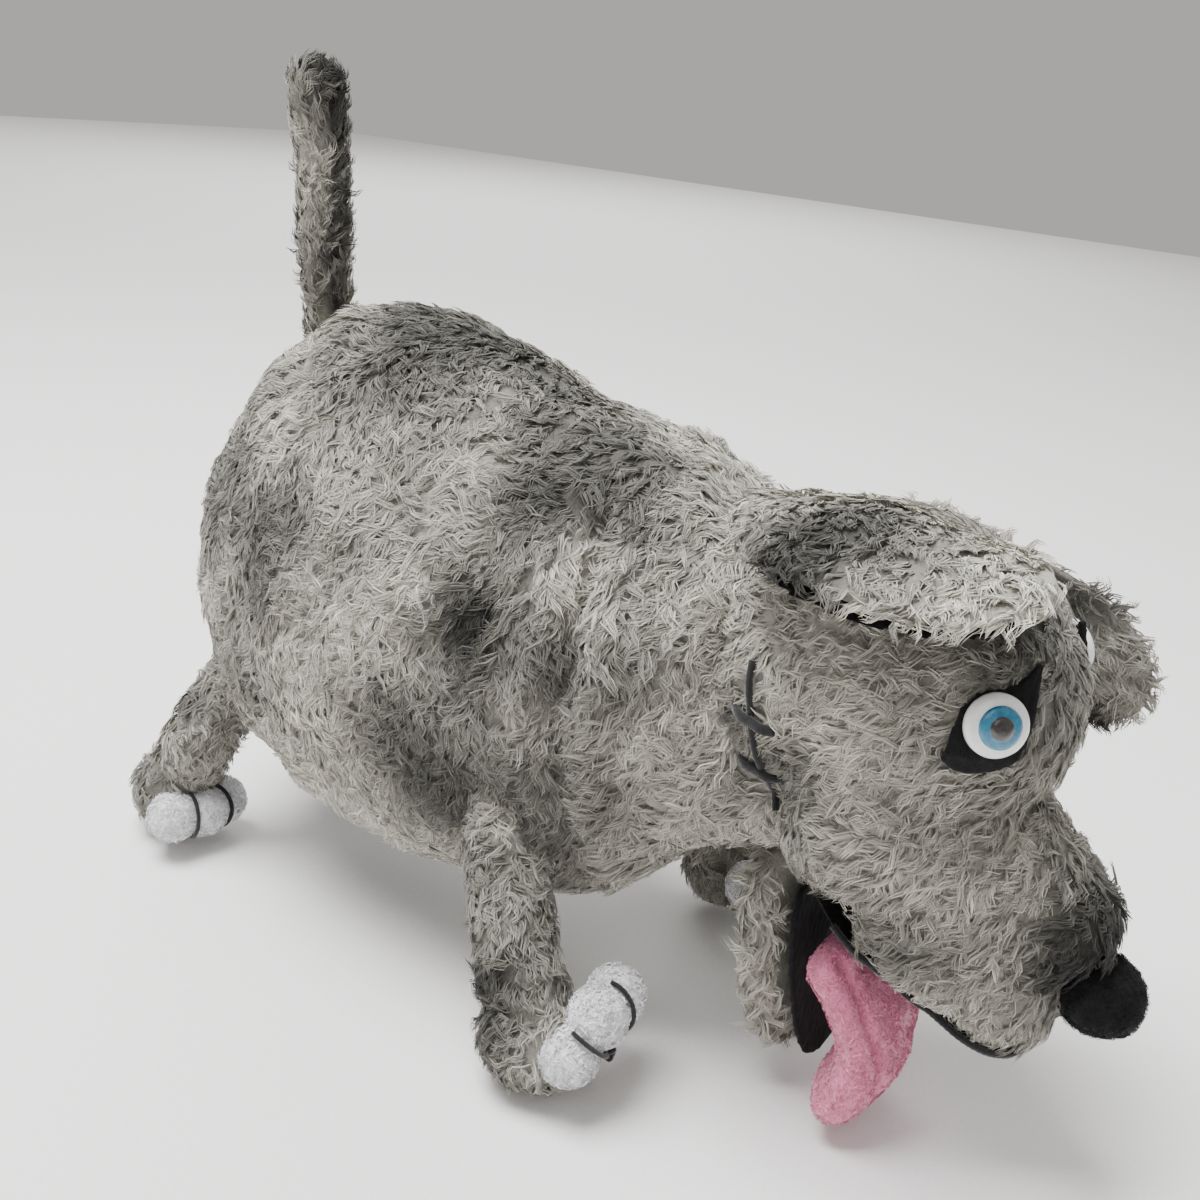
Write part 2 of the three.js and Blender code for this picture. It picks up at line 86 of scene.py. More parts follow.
def ball(centre, radii, around=48, rings=32, turn=None):
    """Vertices and faces of an ellipsoid, with turn a 3x3 matrix."""
    pole = np.linspace(0, math.pi, rings + 1)[1:-1]
    spin = np.arange(around) * 2 * math.pi / around
    p, s = np.meshgrid(pole, spin, indexing="ij")
    v = np.stack([np.sin(p) * np.cos(s), np.sin(p) * np.sin(s), np.cos(p)], -1).reshape(-1, 3)
    v = np.vstack([v, [0, 0, 1], [0, 0, -1]]) * np.array(radii, float)
    if turn is not None:
        v = v @ np.array(turn).T
    faces = tube_faces(rings - 1, around)
    top, bottom = len(v) - 2, len(v) - 1
    last = (rings - 2) * around
    for k in range(around):
        faces.append((k, (k + 1) % around, top))
        faces.append((last + (k + 1) % around, last + k, bottom))
    return v + np.array(centre, float), faces


def tube_faces(rows, around, closed=False, offset=0):
    faces = []
    for r in range(rows if closed else rows - 1):
        for k in range(around):
            a = r * around + k
            b = r * around + (k + 1) % around
            c = ((r + 1) % rows) * around + (k + 1) % around
            d = ((r + 1) % rows) * around + k
            faces.append((offset + a, offset + d, offset + c, offset + b))
    return faces


def sweep(path, section, closed=False, caps=True, side=(0, 0, 1)):
    """Carries a section, (n, 2) or a function of the row's share of the way, along a path."""
    path = np.array(path, float)
    ahead = np.roll(path, -1, 0) - np.roll(path, 1, 0)
    if not closed:
        ahead[0], ahead[-1] = path[1] - path[0], path[-1] - path[-2]
    ahead = unit(ahead)
    across = np.array(side, float)
    rows = []
    for k, (p, t) in enumerate(zip(path, ahead)):
        across = across - t * (across @ t)
        across = across / np.linalg.norm(across)
        other = np.cross(t, across)
        ring = section(k / (len(path) - 1)) if callable(section) else section
        rows.append(p + ring[:, :1] * across + ring[:, 1:] * other)
    around = len(rows[0])
    v = np.vstack(rows)
    faces = tube_faces(len(rows), around, closed)
    faces = [f[::-1] for f in faces]
    if caps and not closed:
        faces.append(tuple(range(around))[::-1])
        faces.append(tuple(range((len(rows) - 1) * around, len(rows) * around)))
    return v, faces


def fine_path(points, step, closed=False):
    """The smooth curve through the points, with a point about every step mm."""
    p = np.array(points, float)
    if closed:
        p = np.vstack([p[-1:], p, p[:2]])
    else:
        p = np.vstack([2 * p[0] - p[1], p, 2 * p[-1] - p[-2]])
    out = []
    for k in range(1, len(p) - 2):
        n = max(2, int(np.linalg.norm(p[k + 1] - p[k]) / step))
        t = (np.arange(n) / n)[:, None]
        out.append(0.5 * (2 * p[k] + (p[k + 1] - p[k - 1]) * t
                          + (2 * p[k - 1] - 5 * p[k] + 4 * p[k + 1] - p[k + 2]) * t**2
                          + (3 * p[k] - p[k - 1] - 3 * p[k + 1] + p[k + 2]) * t**3))
    if not closed:
        out.append(p[-2:-1])
    return np.vstack(out)


def twisted(points, radius, ply=3, pitch=4.0, step=0.6, closed=False):
    """A length of plied yarn."""
    path = fine_path(points, step, closed)
    length = np.linalg.norm(np.diff(path, axis=0), axis=1).sum()
    turns = max(1, round(length / pitch))

    def section(share):
        a = np.arange(18) * 2 * math.pi / 18
        r = radius * (0.86 + 0.2 * np.abs(np.cos(ply / 2 * (a - share * turns * 2 * math.pi))))
        return np.stack([r * np.cos(a), r * np.sin(a)], -1)

    return sweep(path, section, closed)


def joined(*parts):
    verts, faces, start = [], [], 0
    for v, f in parts:
        verts.append(v)
        faces += [tuple(i + start for i in face) for face in f]
        start += len(v)
    return np.vstack(verts), faces


def to_mesh(name, verts, faces):
    mesh = bpy.data.meshes.new(name)
    mesh.from_pydata([tuple(v) for v in verts], [], faces)
    mesh.update()
    return mesh


def linked(name, data):
    obj = bpy.data.objects.new(name, data)
    bpy.context.scene.collection.objects.link(obj)
    return obj


def points_of(mesh):
    v = np.empty(len(mesh.vertices) * 3)
    mesh.vertices.foreach_get("co", v)
    return v.reshape(-1, 3)


def evaluated(obj):
    """A new mesh with the object's modifiers applied."""
    return bpy.data.meshes.new_from_object(obj.evaluated_get(bpy.context.evaluated_depsgraph_get()))


def triangles(mesh):
    mesh.calc_loop_triangles()
    t = np.empty(len(mesh.loop_triangles) * 3, np.int32)
    mesh.loop_triangles.foreach_get("vertices", t)
    return points_of(mesh), t.reshape(-1, 3)


def processed(verts, faces, *modifiers):
    """A shape after the given modifiers, each (type, {property: value}), as vertices and faces."""
    mesh = to_mesh("work", verts, faces)
    obj = linked("work", mesh)
    for kind, values in modifiers:
        m = obj.modifiers.new(kind, kind)
        for key, value in values.items():
            setattr(m, key, value)
    done = evaluated(obj)
    v = points_of(done)
    f = [tuple(p.vertices) for p in done.polygons]
    bpy.data.objects.remove(obj)
    bpy.data.meshes.remove(mesh)
    bpy.data.meshes.remove(done)
    return v, f


def fused(parts, voxel, smooth=6):
    return processed(*joined(*parts), ("REMESH", {"mode": "VOXEL", "voxel_size": voxel}),
                     ("SMOOTH", {"factor": 0.5, "iterations": smooth}))


def normals_of(verts, faces):
    n = np.zeros_like(verts)
    for f in faces:
        a, b, c = verts[f[0]], verts[f[1]], verts[f[2]]
        g = np.cross(b - a, c - a)
        for i in f:
            n[i] += g
    return unit(n)


def facing_out(verts, faces):
    """The faces, turned over if they look inwards."""
    inwards = (normals_of(verts, faces) * (verts - verts.mean(0))).sum() < 0
    return [f[::-1] for f in faces] if inwards else faces


def to_line(points, line):
    """Distance of each point from a line of points."""
    best = np.full(len(points), 1e9)
    line = np.array(line, float)
    for a, b in zip(line[:-1], line[1:]):
        t = np.clip((points - a) @ (b - a) / ((b - a) @ (b - a)), 0, 1)
        best = np.minimum(best, np.linalg.norm(points - a - t[:, None] * (b - a), axis=1))
    return best


SIMULATED = 20                     # frames that the cover is blown up for


def stuffed(verts, faces, pinned, pressure=4.0, most=2.5):
    """Blows the sewn cover up against its pinned seams for a moment, as stuffing does."""
    mesh = to_mesh("cover", verts / 1000, faces)
    obj = linked("cover", mesh)
    group = obj.vertex_groups.new(name="seams")
    for i in np.nonzero(pinned)[0]:
        group.add([int(i)], 1.0, "REPLACE")
    cloth = obj.modifiers.new("cloth", "CLOTH")
    s = cloth.settings
    s.quality = 4
    s.mass = 0.3
    s.tension_stiffness = s.compression_stiffness = 20
    s.bending_stiffness = 1.0
    s.use_pressure = True
    s.uniform_pressure_force = pressure
    s.effector_weights.gravity = 0
    s.vertex_group_mass = "seams"
    cloth.point_cache.frame_start = 1
    cloth.point_cache.frame_end = SIMULATED
    for number in range(1, SIMULATED + 1):
        bpy.context.scene.frame_set(number)
    moved = points_of(evaluated(obj)) * 1000 - verts
    far = np.linalg.norm(moved, axis=1, keepdims=True)
    bpy.data.objects.remove(obj)
    bpy.context.scene.frame_set(1)
    return verts + moved * np.minimum(1, most / np.maximum(far, 1e-6))


# ---- colours and materials -----------------------------------------------------------------------
def new_material(name):
    m = bpy.data.materials.new(name)
    m.use_nodes = True
    nodes = m.node_tree.nodes
    return m, nodes, m.node_tree.links, nodes["Principled BSDF"]


def ramp(nodes, links, value, stops):
    r = nodes.new("ShaderNodeValToRGB")
    while len(r.color_ramp.elements) < len(stops):
        r.color_ramp.elements.new(0.5)
    for e, (place, colour) in zip(r.color_ramp.elements, stops):
        e.position = place
        e.color = (*colour, 1)
    links.new(value, r.inputs["Fac"])
    return r.outputs["Color"]


def noise_of(nodes, links, scale, detail=3.0, rough=0.6, stretch=None):
    place = nodes.new("ShaderNodeTexCoord").outputs["Object"]
    if stretch:
        mapping = nodes.new("ShaderNodeMapping")
        mapping.inputs["Scale"].default_value = stretch
        links.new(place, mapping.inputs["Vector"])
        place = mapping.outputs["Vector"]
    n = nodes.new("ShaderNodeTexNoise")
    n.inputs["Scale"].default_value = scale
    n.inputs["Detail"].default_value = detail
    n.inputs["Roughness"].default_value = rough
    links.new(place, n.inputs["Vector"])
    return n.outputs["Fac"]


def bumped(nodes, links, shader, height, strength, distance):
    b = nodes.new("ShaderNodeBump")
    b.inputs["Strength"].default_value = strength
    b.inputs["Distance"].default_value = distance
    links.new(height, b.inputs["Height"])
    links.new(b.outputs["Normal"], shader.inputs["Normal"])


def cloth_material(name, dark, light, scale, rough=0.95, sheen=0.3, bump=0.5, depth=0.0003, stretch=None):
    m, nodes, links, shader = new_material(name)
    n = noise_of(nodes, links, scale, 4.0, 0.65, stretch)
    links.new(ramp(nodes, links, n, [(0.3, dark), (0.7, light)]), shader.inputs["Base Color"])
    shader.inputs["Roughness"].default_value = rough
    shader.inputs["Specular IOR Level"].default_value = 0.2
    shader.inputs["Sheen Weight"].default_value = sheen
    shader.inputs["Sheen Roughness"].default_value = 0.5
    bumped(nodes, links, shader, n, bump, depth)
    return m


def coat_material(name, rough=0.75, sheen=0.25, speckle=0.25, scale=2600):
    """Takes its colour from the piece's own coat attribute, broken up by fine fibres."""
    m, nodes, links, shader = new_material(name)
    coat = nodes.new("ShaderNodeAttribute")
    coat.attribute_name = "coat"
    n = noise_of(nodes, links, scale, 2.0)
    grey = ramp(nodes, links, n, [(0.25, (1 - speckle,) * 3), (0.75, (1, 1, 1))])
    mix = nodes.new("ShaderNodeMix")
    mix.data_type = "RGBA"
    mix.blend_type = "MULTIPLY"
    mix.inputs[0].default_value = 1
    links.new(coat.outputs["Color"], mix.inputs[6])
    links.new(grey, mix.inputs[7])
    links.new(mix.outputs[2], shader.inputs["Base Color"])
    shader.inputs["Roughness"].default_value = rough
    shader.inputs["Specular IOR Level"].default_value = 0.15
    shader.inputs["Sheen Weight"].default_value = sheen
    shader.inputs["Sheen Roughness"].default_value = 0.4
    return m


PILE = coat_material("plush_pile", 0.9, 0.3, 0.15)
BACKING = coat_material("plush_backing", 0.95, 0.1, 0.4, 1500)
NAP = coat_material("fleece_nap", 0.9, 0.25, 0.1, 3000)
BLACK_NAP = coat_material("black_nap", 0.9, 0.03, 0.1, 3000)
FELT = cloth_material("black_felt", (0.003, 0.003, 0.0035), (0.011, 0.011, 0.012), 2200, 0.95, 0.04)
YARN = cloth_material("black_yarn", (0.004, 0.004, 0.005), (0.02, 0.02, 0.022), 3000, 0.8, 0.3, 0.6, 0.0002,
                      (1, 1, 0.35))
LINING = cloth_material("lining_weave", (0.34, 0.33, 0.3), (0.46, 0.44, 0.41), 1800, 0.9, 0.2)
STUFFING = cloth_material("stuffing_fibre", (0.6, 0.59, 0.56), (0.8, 0.79, 0.76), 700, 0.95, 0.4, 0.8, 0.001)
WHITE = cloth_material("white_fleece", (0.62, 0.62, 0.65), (0.8, 0.8, 0.83), 1800, 0.95, 0.5)
PINK = cloth_material("pink_fleece", (0.55, 0.13, 0.25), (0.78, 0.27, 0.41), 1500, 0.95, 0.5)


def plastic(name, dark, light, scale, rough, coat):
    m, nodes, links, shader = new_material(name)
    n = noise_of(nodes, links, scale, 2.0)
    links.new(ramp(nodes, links, n, [(0.3, dark), (0.7, light)]), shader.inputs["Base Color"])
    shader.inputs["Roughness"].default_value = rough
    shader.inputs["Coat Weight"].default_value = coat
    shader.inputs["Coat Roughness"].default_value = 0.04
    return m


EYE_WHITE = plastic("eye_white", (0.78, 0.78, 0.78), (0.86, 0.86, 0.85), 400, 0.2, 0.6)
EYE_IRIS = plastic("eye_iris", (0.012, 0.13, 0.24), (0.03, 0.22, 0.36), 900, 0.22, 0.6)
EYE_PUPIL = plastic("eye_pupil", (0.022, 0.018, 0.018), (0.05, 0.042, 0.04), 600, 0.2, 0.6)
WASHER = plastic("washer_plastic", (0.66, 0.66, 0.64), (0.74, 0.74, 0.72), 500, 0.5, 0.0)

PALE = np.array([0.73, 0.7, 0.61])
DEEP = np.array([0.03, 0.029, 0.027])


def coat_colour(shade):
    """Colour of the pile for a shade from 0, near black, to 1, palest."""
    s = np.clip(shade, 0, 1)[:, None]
    return DEEP + (PALE - DEEP) * s**1.5


# dark patches sprayed on the pile: centre, radius and depth
BODY_PATCHES = [
    ((-42, -12, 103), 8.5, 1.0), ((-8, 20, 156), 20, 0.62), ((-10, 42, 154), 16, 0.6),
                ((-26, -18, 134), 15, 0.6),
    ((-21, -36, 134), 12, 0.5), ((-4, -12, 148), 13, 0.5), ((-44, 41, 112), 13, 0.5),
                ((-46, 52, 98), 14, 0.48),
    ((-46, 0, 72), 17, 0.62), ((-44, -24, 73), 14, 0.5), ((-38, -37, 60), 14, 0.45),
                ((-34, 86, 104), 19, 0.58),
    ((-20, 96, 125), 16, 0.42), ((-30, -50, 105), 10, 0.35), ((-34, 75, 62), 15, 0.36),
                ((-47, 22, 108), 9, 0.35),
    ((-38, -30, 100), 10, 0.42), ((-40, -2, 52), 16, 0.42),
    ((46, 12, 96), 9, 0.9), ((44, 56, 110), 15, 0.55), ((40, -22, 120), 14, 0.5), ((46, 6, 66), 15, 0.5),
    ((34, 88, 92), 16, 0.55), ((24, -44, 80), 12, 0.45), ((18, 70, 140), 13, 0.45), ((0, 100, 70), 14, 0.5),
]
HEAD_PATCHES = [
    ((-3, -119, 129), 9, 0.7), ((-5, -112, 134), 7, 0.55), ((0, -142, 68), 11, 0.78),
                ((-9, -140, 60), 9, 0.6),
    ((9, -140, 60), 9, 0.6), ((-33, -80, 86), 9, 0.42), ((-31, -70, 94), 8, 0.4), ((31, -70, 94), 9, 0.45),
    ((-12, -124, 112), 7, 0.3), ((4, -95, 140), 10, 0.4), ((30, -96, 88), 9, 0.4),
                ((-22, -112, 60), 8, 0.25),
]
EAR_PATCHES = [((-42, -80, 136), 10, 0.8), ((-34, -85, 139), 8, 0.55), ((-30, -98, 140), 7, 0.3),
               ((40, -123, 90), 7, 0.85), ((32, -119, 123), 8, 0.6), ((36, -90, 112), 10, 0.45)]
LEG_PATCHES = [((-57, -32, 27), 8, 0.85), ((-60, -36, 18), 6, 0.5), ((-41, 93, 46), 9, 0.8),
               ((-40, 104, 34), 8, 0.45),
               # the last patch, on the top of the front right leg under the belly, is painted shade
               ((52, -30, 30), 8, 0.75), ((42, 94, 40), 9, 0.75), ((-46, -22, 46), 8, 0.3)]
JAW_PATCHES = [((-16, -80, 20), 8, 0.25), ((14, -74, 34), 9, 0.35)]


ACROSS = np.array([0.5, 1, 1])      # a patch reaches further from side to side than along the coat


def shade_at(points, patches, base=0.86, uneven=0.1, seed=3):
    wobble = 1 + 0.22 * waves(points, 14, seed + 20)
    shade = base + uneven * waves(points, 22, seed) + 0.05 * waves(points, 7, seed + 1)
    for centre, radius, depth in patches:
        far = np.linalg.norm((points - np.array(centre, float)) * ACROSS, axis=1) / (radius * wobble)
        shade = shade * (1 - depth * np.exp(-(far**2.4) * 0.8))
    return shade


# ---- pieces --------------------------------------------------------------------------------------
def piece(name, verts, faces, materials, slot_name, smooth=True, replaces=()):
    mesh = to_mesh(name, (verts + SHIFT) / 1000, faces)
    if smooth:
        mesh.shade_smooth()
    for m in materials if isinstance(materials, list) else [materials]:
        mesh.materials.append(m)
    obj = linked(name, mesh)
    if replaces:
        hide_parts(*replaces)
    return obj


def paint(obj, colours):
    layer = obj.data.color_attributes.new("coat", "FLOAT_COLOR", "POINT")
    rgba = np.ones((len(obj.data.vertices), 4), np.float32)
    rgba[:, :3] = colours
    layer.data.foreach_set("color", rgba.ravel())


BAND = 38000                       # most fibres in one piece
LOWEST = 0.4                       # the pile stays this far above the ground
ALONG = {"y": 1, "z": 2, "flat": 1}


def riding(body):
    return lambda obj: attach(obj, body)


def backing(name, verts, faces, shade, slot_name="plush", replaces=(), material=None):
    """The knitted ground that the pile stands on, painted darker than the pile as shade beneath it."""
    obj = piece(name, verts, faces, material or BACKING, slot_name, replaces=replaces)
    paint(obj, coat_colour(shade(verts)) * 0.66)
    return obj


def pile(name, verts, faces, flow, shade, hold, keep=None, per_mm2=3.2, length=4.9, width=0.34, lay=0.66,
         curl=2.1,
         wild=0.42, members=9, centre=(0, 0, 0), axis="y", seed=1, root=0.6, tint=None, material=None):
    """Locks of pile all over a skin, each a few flat tapered fibres that lean with the flow and gather
    at the tip.

    They are made as bands along the axis, each of at most BAND fibres, and hold is called on each band."""
    rng = np.random.default_rng(seed)
    tri = []
    for f in faces:
        for k in range(1, len(f) - 1):
            tri.append((f[0], f[k], f[k + 1]))
    tri = np.array(tri)
    vn = np.zeros_like(verts)
    a, b, c = verts[tri[:, 0]], verts[tri[:, 1]], verts[tri[:, 2]]
    g = np.cross(b - a, c - a)
    for k in range(3):
        np.add.at(vn, tri[:, k], g)
    vn = unit(vn)
    area = np.linalg.norm(g, axis=1) / 2
    density = per_mm2 * 1.0
    locks = int(area.sum() * density / members)
    pick = rng.choice(len(tri), locks, p=area / area.sum())
    r1, r2 = np.sqrt(rng.random(locks))[:, None], rng.random(locks)[:, None]
    place = (1 - r1) * a[pick] + r1 * (1 - r2) * b[pick] + r1 * r2 * c[pick]
    normal = unit((1 - r1) * vn[tri[pick, 0]] + r1 * (1 - r2) * vn[tri[pick, 1]] + r1 * r2 * vn[tri[pick,
                                                                                                    2]])
    if keep is not None:
        stay = keep(place, normal)
        place, normal = place[stay], normal[stay]
    order = np.argsort(place[:, ALONG[axis]], kind="stable")
    place, normal = place[order], normal[order]
    locks = len(place)
    lean = flow(place, normal)
    lean = lean - normal * (lean * normal).sum(1, keepdims=True)
    lean = unit(lean + 1e-6)
    side = np.cross(normal, lean)
    swirl = wild * (1.1 * waves(place, 9, seed + 5) + 0.8 * rng.normal(size=locks))
    lean = lean * np.cos(swirl)[:, None] + side * np.sin(swirl)[:, None]
    side = np.cross(normal, lean)
    tall = length * (1 + 0.16 * rng.normal(size=locks)) * (1 + 0.12 * waves(place, 12, seed + 6))
    phase = rng.uniform(0, 6.28, locks)
    tone_and_highlight = 1 + 0.07 * rng.normal(size=locks)
    tilt = np.clip(lay + 0.12 * rng.normal(size=locks), 0.2, 0.95)

    def each(values):
        return np.repeat(values, members, axis=0)

    count = locks * members
    place, normal, lean, side = each(place), each(normal), each(lean), each(side)
    tall = each(tall) * rng.uniform(0.74, 1.08, count)
    phase = each(phase) + rng.normal(size=count) * 0.3
    # about a third of the fibres are painted brighter and the rest darker: partly random fibre tone, partly
    # painted highlight along single strands
    tone_and_highlight = each(tone_and_highlight) * np.where(rng.random(count) < 0.35, 1.16,
                                     0.8) * (1 + 0.07 * rng.normal(size=count))
    tilt = each(tilt)
    off = rng.normal(size=(count, 2)) * 0.55
    steps = np.array([0.0, 0.34, 0.68, 1.0])
    gather = 1 - 0.62 * steps
    rows = []
    for t, close in zip(steps, gather):
        forward = tall * (tilt * t + (1 - tilt) * 0.9 * t * t)
        rise = tall * ((1.35 - tilt) * t - (0.95 - 0.75 * tilt) * t * t)
        sway = tall * 0.16 * curl * (np.sin(phase + 4.4 * t) - np.sin(phase)) * t
        rows.append(place + lean * (forward + off[:, 0] * close)[:, None] + normal * rise[:, None]
                    + side * (sway + off[:, 1] * close)[:, None])
    roll = rng.normal(size=count) * 0.55
    blade = side * np.cos(roll)[:, None] + normal * np.sin(roll)[:, None]
    half = width / 2 * rng.uniform(0.7, 1.2, count)[:, None]
    points = np.stack([rows[0] - blade * half * 0.8, rows[0] + blade * half * 0.8,
                       rows[1] - blade * half, rows[1] + blade * half,
                       rows[2] - blade * half * 0.72, rows[2] + blade * half * 0.72, rows[3]], 1)
    points[..., 2] = np.maximum(points[..., 2], LOWEST)
    colour = coat_colour(shade(place)) if tint is None else np.tile(np.array(tint), (count, 1))
    # painted shade: each fibre is coloured darker at its root, down in the pile where shade falls, and a
    # little lighter at its tip
    painted_root_shade = np.array([root, root, 0.84, 0.84, 1.0, 1.0, 1.06])
    colours = np.clip(colour[:, None, :] * painted_root_shade[None, :, None] * tone_and_highlight[:, None, None], 0, 1)
    bands = max(1, math.ceil(count / BAND))
    for k in range(bands):
        one, two = count * k // bands, count * (k + 1) // bands
        label = f"{name}_{k + 1}" if bands > 1 else name
        hold(pile_band(label, points[one:two], place[one:two], colours[one:two], centre, axis,
                       material or PILE))


def pile_band(name, points, place, colours, centre, axis, material):
    count = len(points)
    base = (np.arange(count) * 7)[:, None]
    quads = (base + np.array([0, 1, 3, 2, 2, 3, 5, 4])).reshape(-1, 4)
    tips = base + np.array([4, 5, 6])
    loops = np.concatenate([quads.ravel(), tips.ravel()]).astype(np.int32)
    starts = np.concatenate([np.arange(len(quads)) * 4,
                             len(quads) * 4 + np.arange(count) * 3]).astype(np.int32)
    mesh = bpy.data.meshes.new(name)
    mesh.vertices.add(count * 7)
    mesh.vertices.foreach_set("co", ((points.reshape(-1, 3) + SHIFT) / 1000).ravel())
    mesh.loops.add(len(loops))
    mesh.loops.foreach_set("vertex_index", loops)
    mesh.polygons.add(len(starts))
    mesh.polygons.foreach_set("loop_start", starts)
    mesh.update(calc_edges=True)
    mesh.shade_smooth()
    mesh.materials.append(material)
    obj = linked(name, mesh)
    paint(obj, colours.reshape(-1, 3))
    lay_out(mesh, points, place, np.array(centre, float), axis)
    return obj


def lay_out(mesh, points, place, centre, axis):
    """Opens the pile out flat round an axis, so that each lock keeps its place on the cloth."""
    def angle(q):
        d = q - centre
        if axis == "y":
            return np.arctan2(d[..., 0], d[..., 2])
        if axis == "z":
            return np.arctan2(d[..., 0], -d[..., 1])
        return d[..., 0] / 30

    along = ALONG[axis]
    own = angle(place)
    turn = angle(points) - own[:, None]
    if axis != "flat":
        turn = (turn + math.pi) % (2 * math.pi) - math.pi
    u = own[:, None] + turn
    v = points[..., along]
    u = np.clip((u - own.min()) / max(np.ptp(own), 1e-6), 0, 1)
    v = np.clip((v - place[:, along].min()) / max(np.ptp(place[:, along]), 1e-6), 0, 1)
    uv = np.stack([u, v], -1).reshape(-1, 2)
    which = np.empty(len(mesh.loops), np.int32)
    mesh.loops.foreach_get("vertex_index", which)
    layer = mesh.uv_layers.new(name="OFBake")
    layer.data.foreach_set("uv", uv[which].astype(np.float32).ravel())


# ---- body sleeve ---------------------------------------------------------------------------------
WIDTHS = [36, 38, 43.5, 46.5, 48.5, 49.5, 47.5, 40]
HEIGHTS = [43, 46, 59, 64, 72, 76, 73, 61]
MIDDLES = [96, 92, 84.5, 82, 84, 84.5, 84, 81]
FRONT, REAR = -90.0, 107.5
HOLE = (38.0, 30.0, 36.0)          # middle, half width and half length of the hand hole
NOD = np.array([0, -99.0, 104.0])
SEAM = 39.0                        # radius of the neck seam round the nod axis
PILE_DEPTH = 3.2

# folds where the sleeve gathers: each a line of points and the depth it is drawn in
FOLDS = [
    ([(-20, -30, 140), (-38.8, -34.3, 108), (-42.3, -33.5, 89.6), (-40, -38.5, 63), (-24, -36, 36)], 6.0,
     3.8),
    ([(-14, -39, 140), (-30.4, -41.2, 123), (-37.4, -45, 107), (-39, -51, 90)], 3.8, 3.0),
    ([(-30, -24, 128), (-41, -25, 108), (-44, -22, 96)], 2.8, 3.0),
    ([(20, -32, 140), (39, -36, 106), (42, -35, 88), (38, -40, 62), (22, -38, 36)], 5.0, 3.8),
    ([(14, -41, 138), (33, -45, 118), (38, -50, 96)], 3.4, 4.2),
    ([(-30, 64, 134), (-20, 42, 150), (-6, 52, 156)], 2.6, 4.0),
    ([(24, 60, 140), (14, 48, 152)], 2.0, 4.0),
    ([(-34, -14, 34), (-40, -20, 50), (-44, -14, 66)], 3.0, 5.0),
]


def body_grid(shrink, rows=100, around=96):
    share = (1 - np.cos(np.linspace(0, math.pi, rows + 2)[1:-1])) / 2
    spin = np.arange(around) * 2 * math.pi / around
    s, t = np.meshgrid(share, spin, indexing="ij")
    e = 2 * s - 1
    ring = np.sqrt(np.maximum(1 - e**2, 0))
    r = np.where(e < 0, ring**0.2, ring**0.6)
    x = np.sin(t) * r * (spread(WIDTHS, s) - shrink)
    z = spread(MIDDLES, s) + np.cos(t) * r * (spread(HEIGHTS, s) - shrink)
    y = (FRONT + REAR) / 2 + e * ((REAR - FRONT) / 2 - shrink)
    v = np.stack([x, y, z], -1).reshape(-1, 3)
    return v, tube_faces(rows, around)


def rounded_rear(v, faces, rows, around):
    """Closes the rump end of the sleeve's grid with a fan."""
    last = (rows - 1) * around
    v = np.vstack([v, v[last:].mean(0)])
    tip = len(v) - 1
    faces = faces + [(last + (k + 1) % around, last + k, tip) for k in range(around)]
    return v, faces


def in_hole(v, grow=0.0):
    return ((v[:, 0] / (HOLE[1] + grow)) ** 2 + ((v[:, 1] - HOLE[0]) / (HOLE[2] + grow)) ** 2 < 1) & (v[:,
        2] < 60)


def open_hole(v, faces, grow=0.0):
    """Cuts the hand hole in the belly and lays the cut edge along its outline."""
    inside = in_hole(v, grow)
    kept = [f for f in faces if not all(inside[i] for i in f)]
    edge = {i for f in kept for i in f if inside[i]}
    for i in edge:
        d = np.array([v[i, 0] / (HOLE[1] + grow), (v[i, 1] - HOLE[0]) / (HOLE[2] + grow)])
        d = d / max(np.linalg.norm(d), 1e-6)
        v[i, 0] = d[0] * (HOLE[1] + grow)
        v[i, 1] = HOLE[0] + d[1] * (HOLE[2] + grow)
    return v, kept


def without_loose(v, faces):
    used = np.zeros(len(v), bool)
    for f in faces:
        used[list(f)] = True
    new = np.cumsum(used) - 1
    return v[used], [tuple(int(new[i]) for i in f) for f in faces]


def seam_gap(v):
    """How far a point is behind the neck seam."""
    return np.hypot(v[:, 1] - NOD[1], v[:, 2] - NOD[2]) - SEAM


ROWS, AROUND = 100, 96
skin, skin_faces = body_grid(PILE_DEPTH, ROWS, AROUND)
skin, skin_faces = rounded_rear(skin, skin_faces, ROWS, AROUND)
outward = normals_of(skin, skin_faces)
if (outward[:, 0] * skin[:, 0]).sum() < 0:
    skin_faces = [f[::-1] for f in skin_faces]
    outward = -outward
draw = np.zeros(len(skin))
seams = np.zeros(len(skin), bool)
for line, depth, wide in FOLDS:
    far = to_line(skin, line)
    draw += -depth * np.exp(-((far / wide) ** 2)) + 0.34 * depth * np.exp(-(((far - 2.1 * wide) / wide) ** 2))
    seams |= far < 1.6
draw += 0.7 * waves(skin, 26, 11) + 0.35 * waves(skin, 11, 12)
skin = skin + outward * draw[:, None]
middle_line = np.abs(skin[:, 0]) < 1.0
behind = seam_gap(skin)
seams |= (behind < 5) | in_hole(skin, 3) | (middle_line & (skin[:, 2] > 90))
skin = stuffed(skin, skin_faces, seams)
tuck = np.exp(-np.clip(behind + 1.5, 0, None) / 4.0)
centre_line = np.stack([np.zeros(len(skin)), skin[:, 1],
                        spread(MIDDLES, (skin[:, 1] - FRONT) / (REAR - FRONT))], -1)
skin = skin + (centre_line - skin) * (0.17 * tuck)[:, None]
in_front = (behind < -6) | (skin[:, 1] < NOD[1])
skin_faces = [f for f in skin_faces if not all(in_front[i] for i in f)]
skin, skin_faces = open_hole(skin, skin_faces)
body_v, body_f = without_loose(skin, skin_faces)


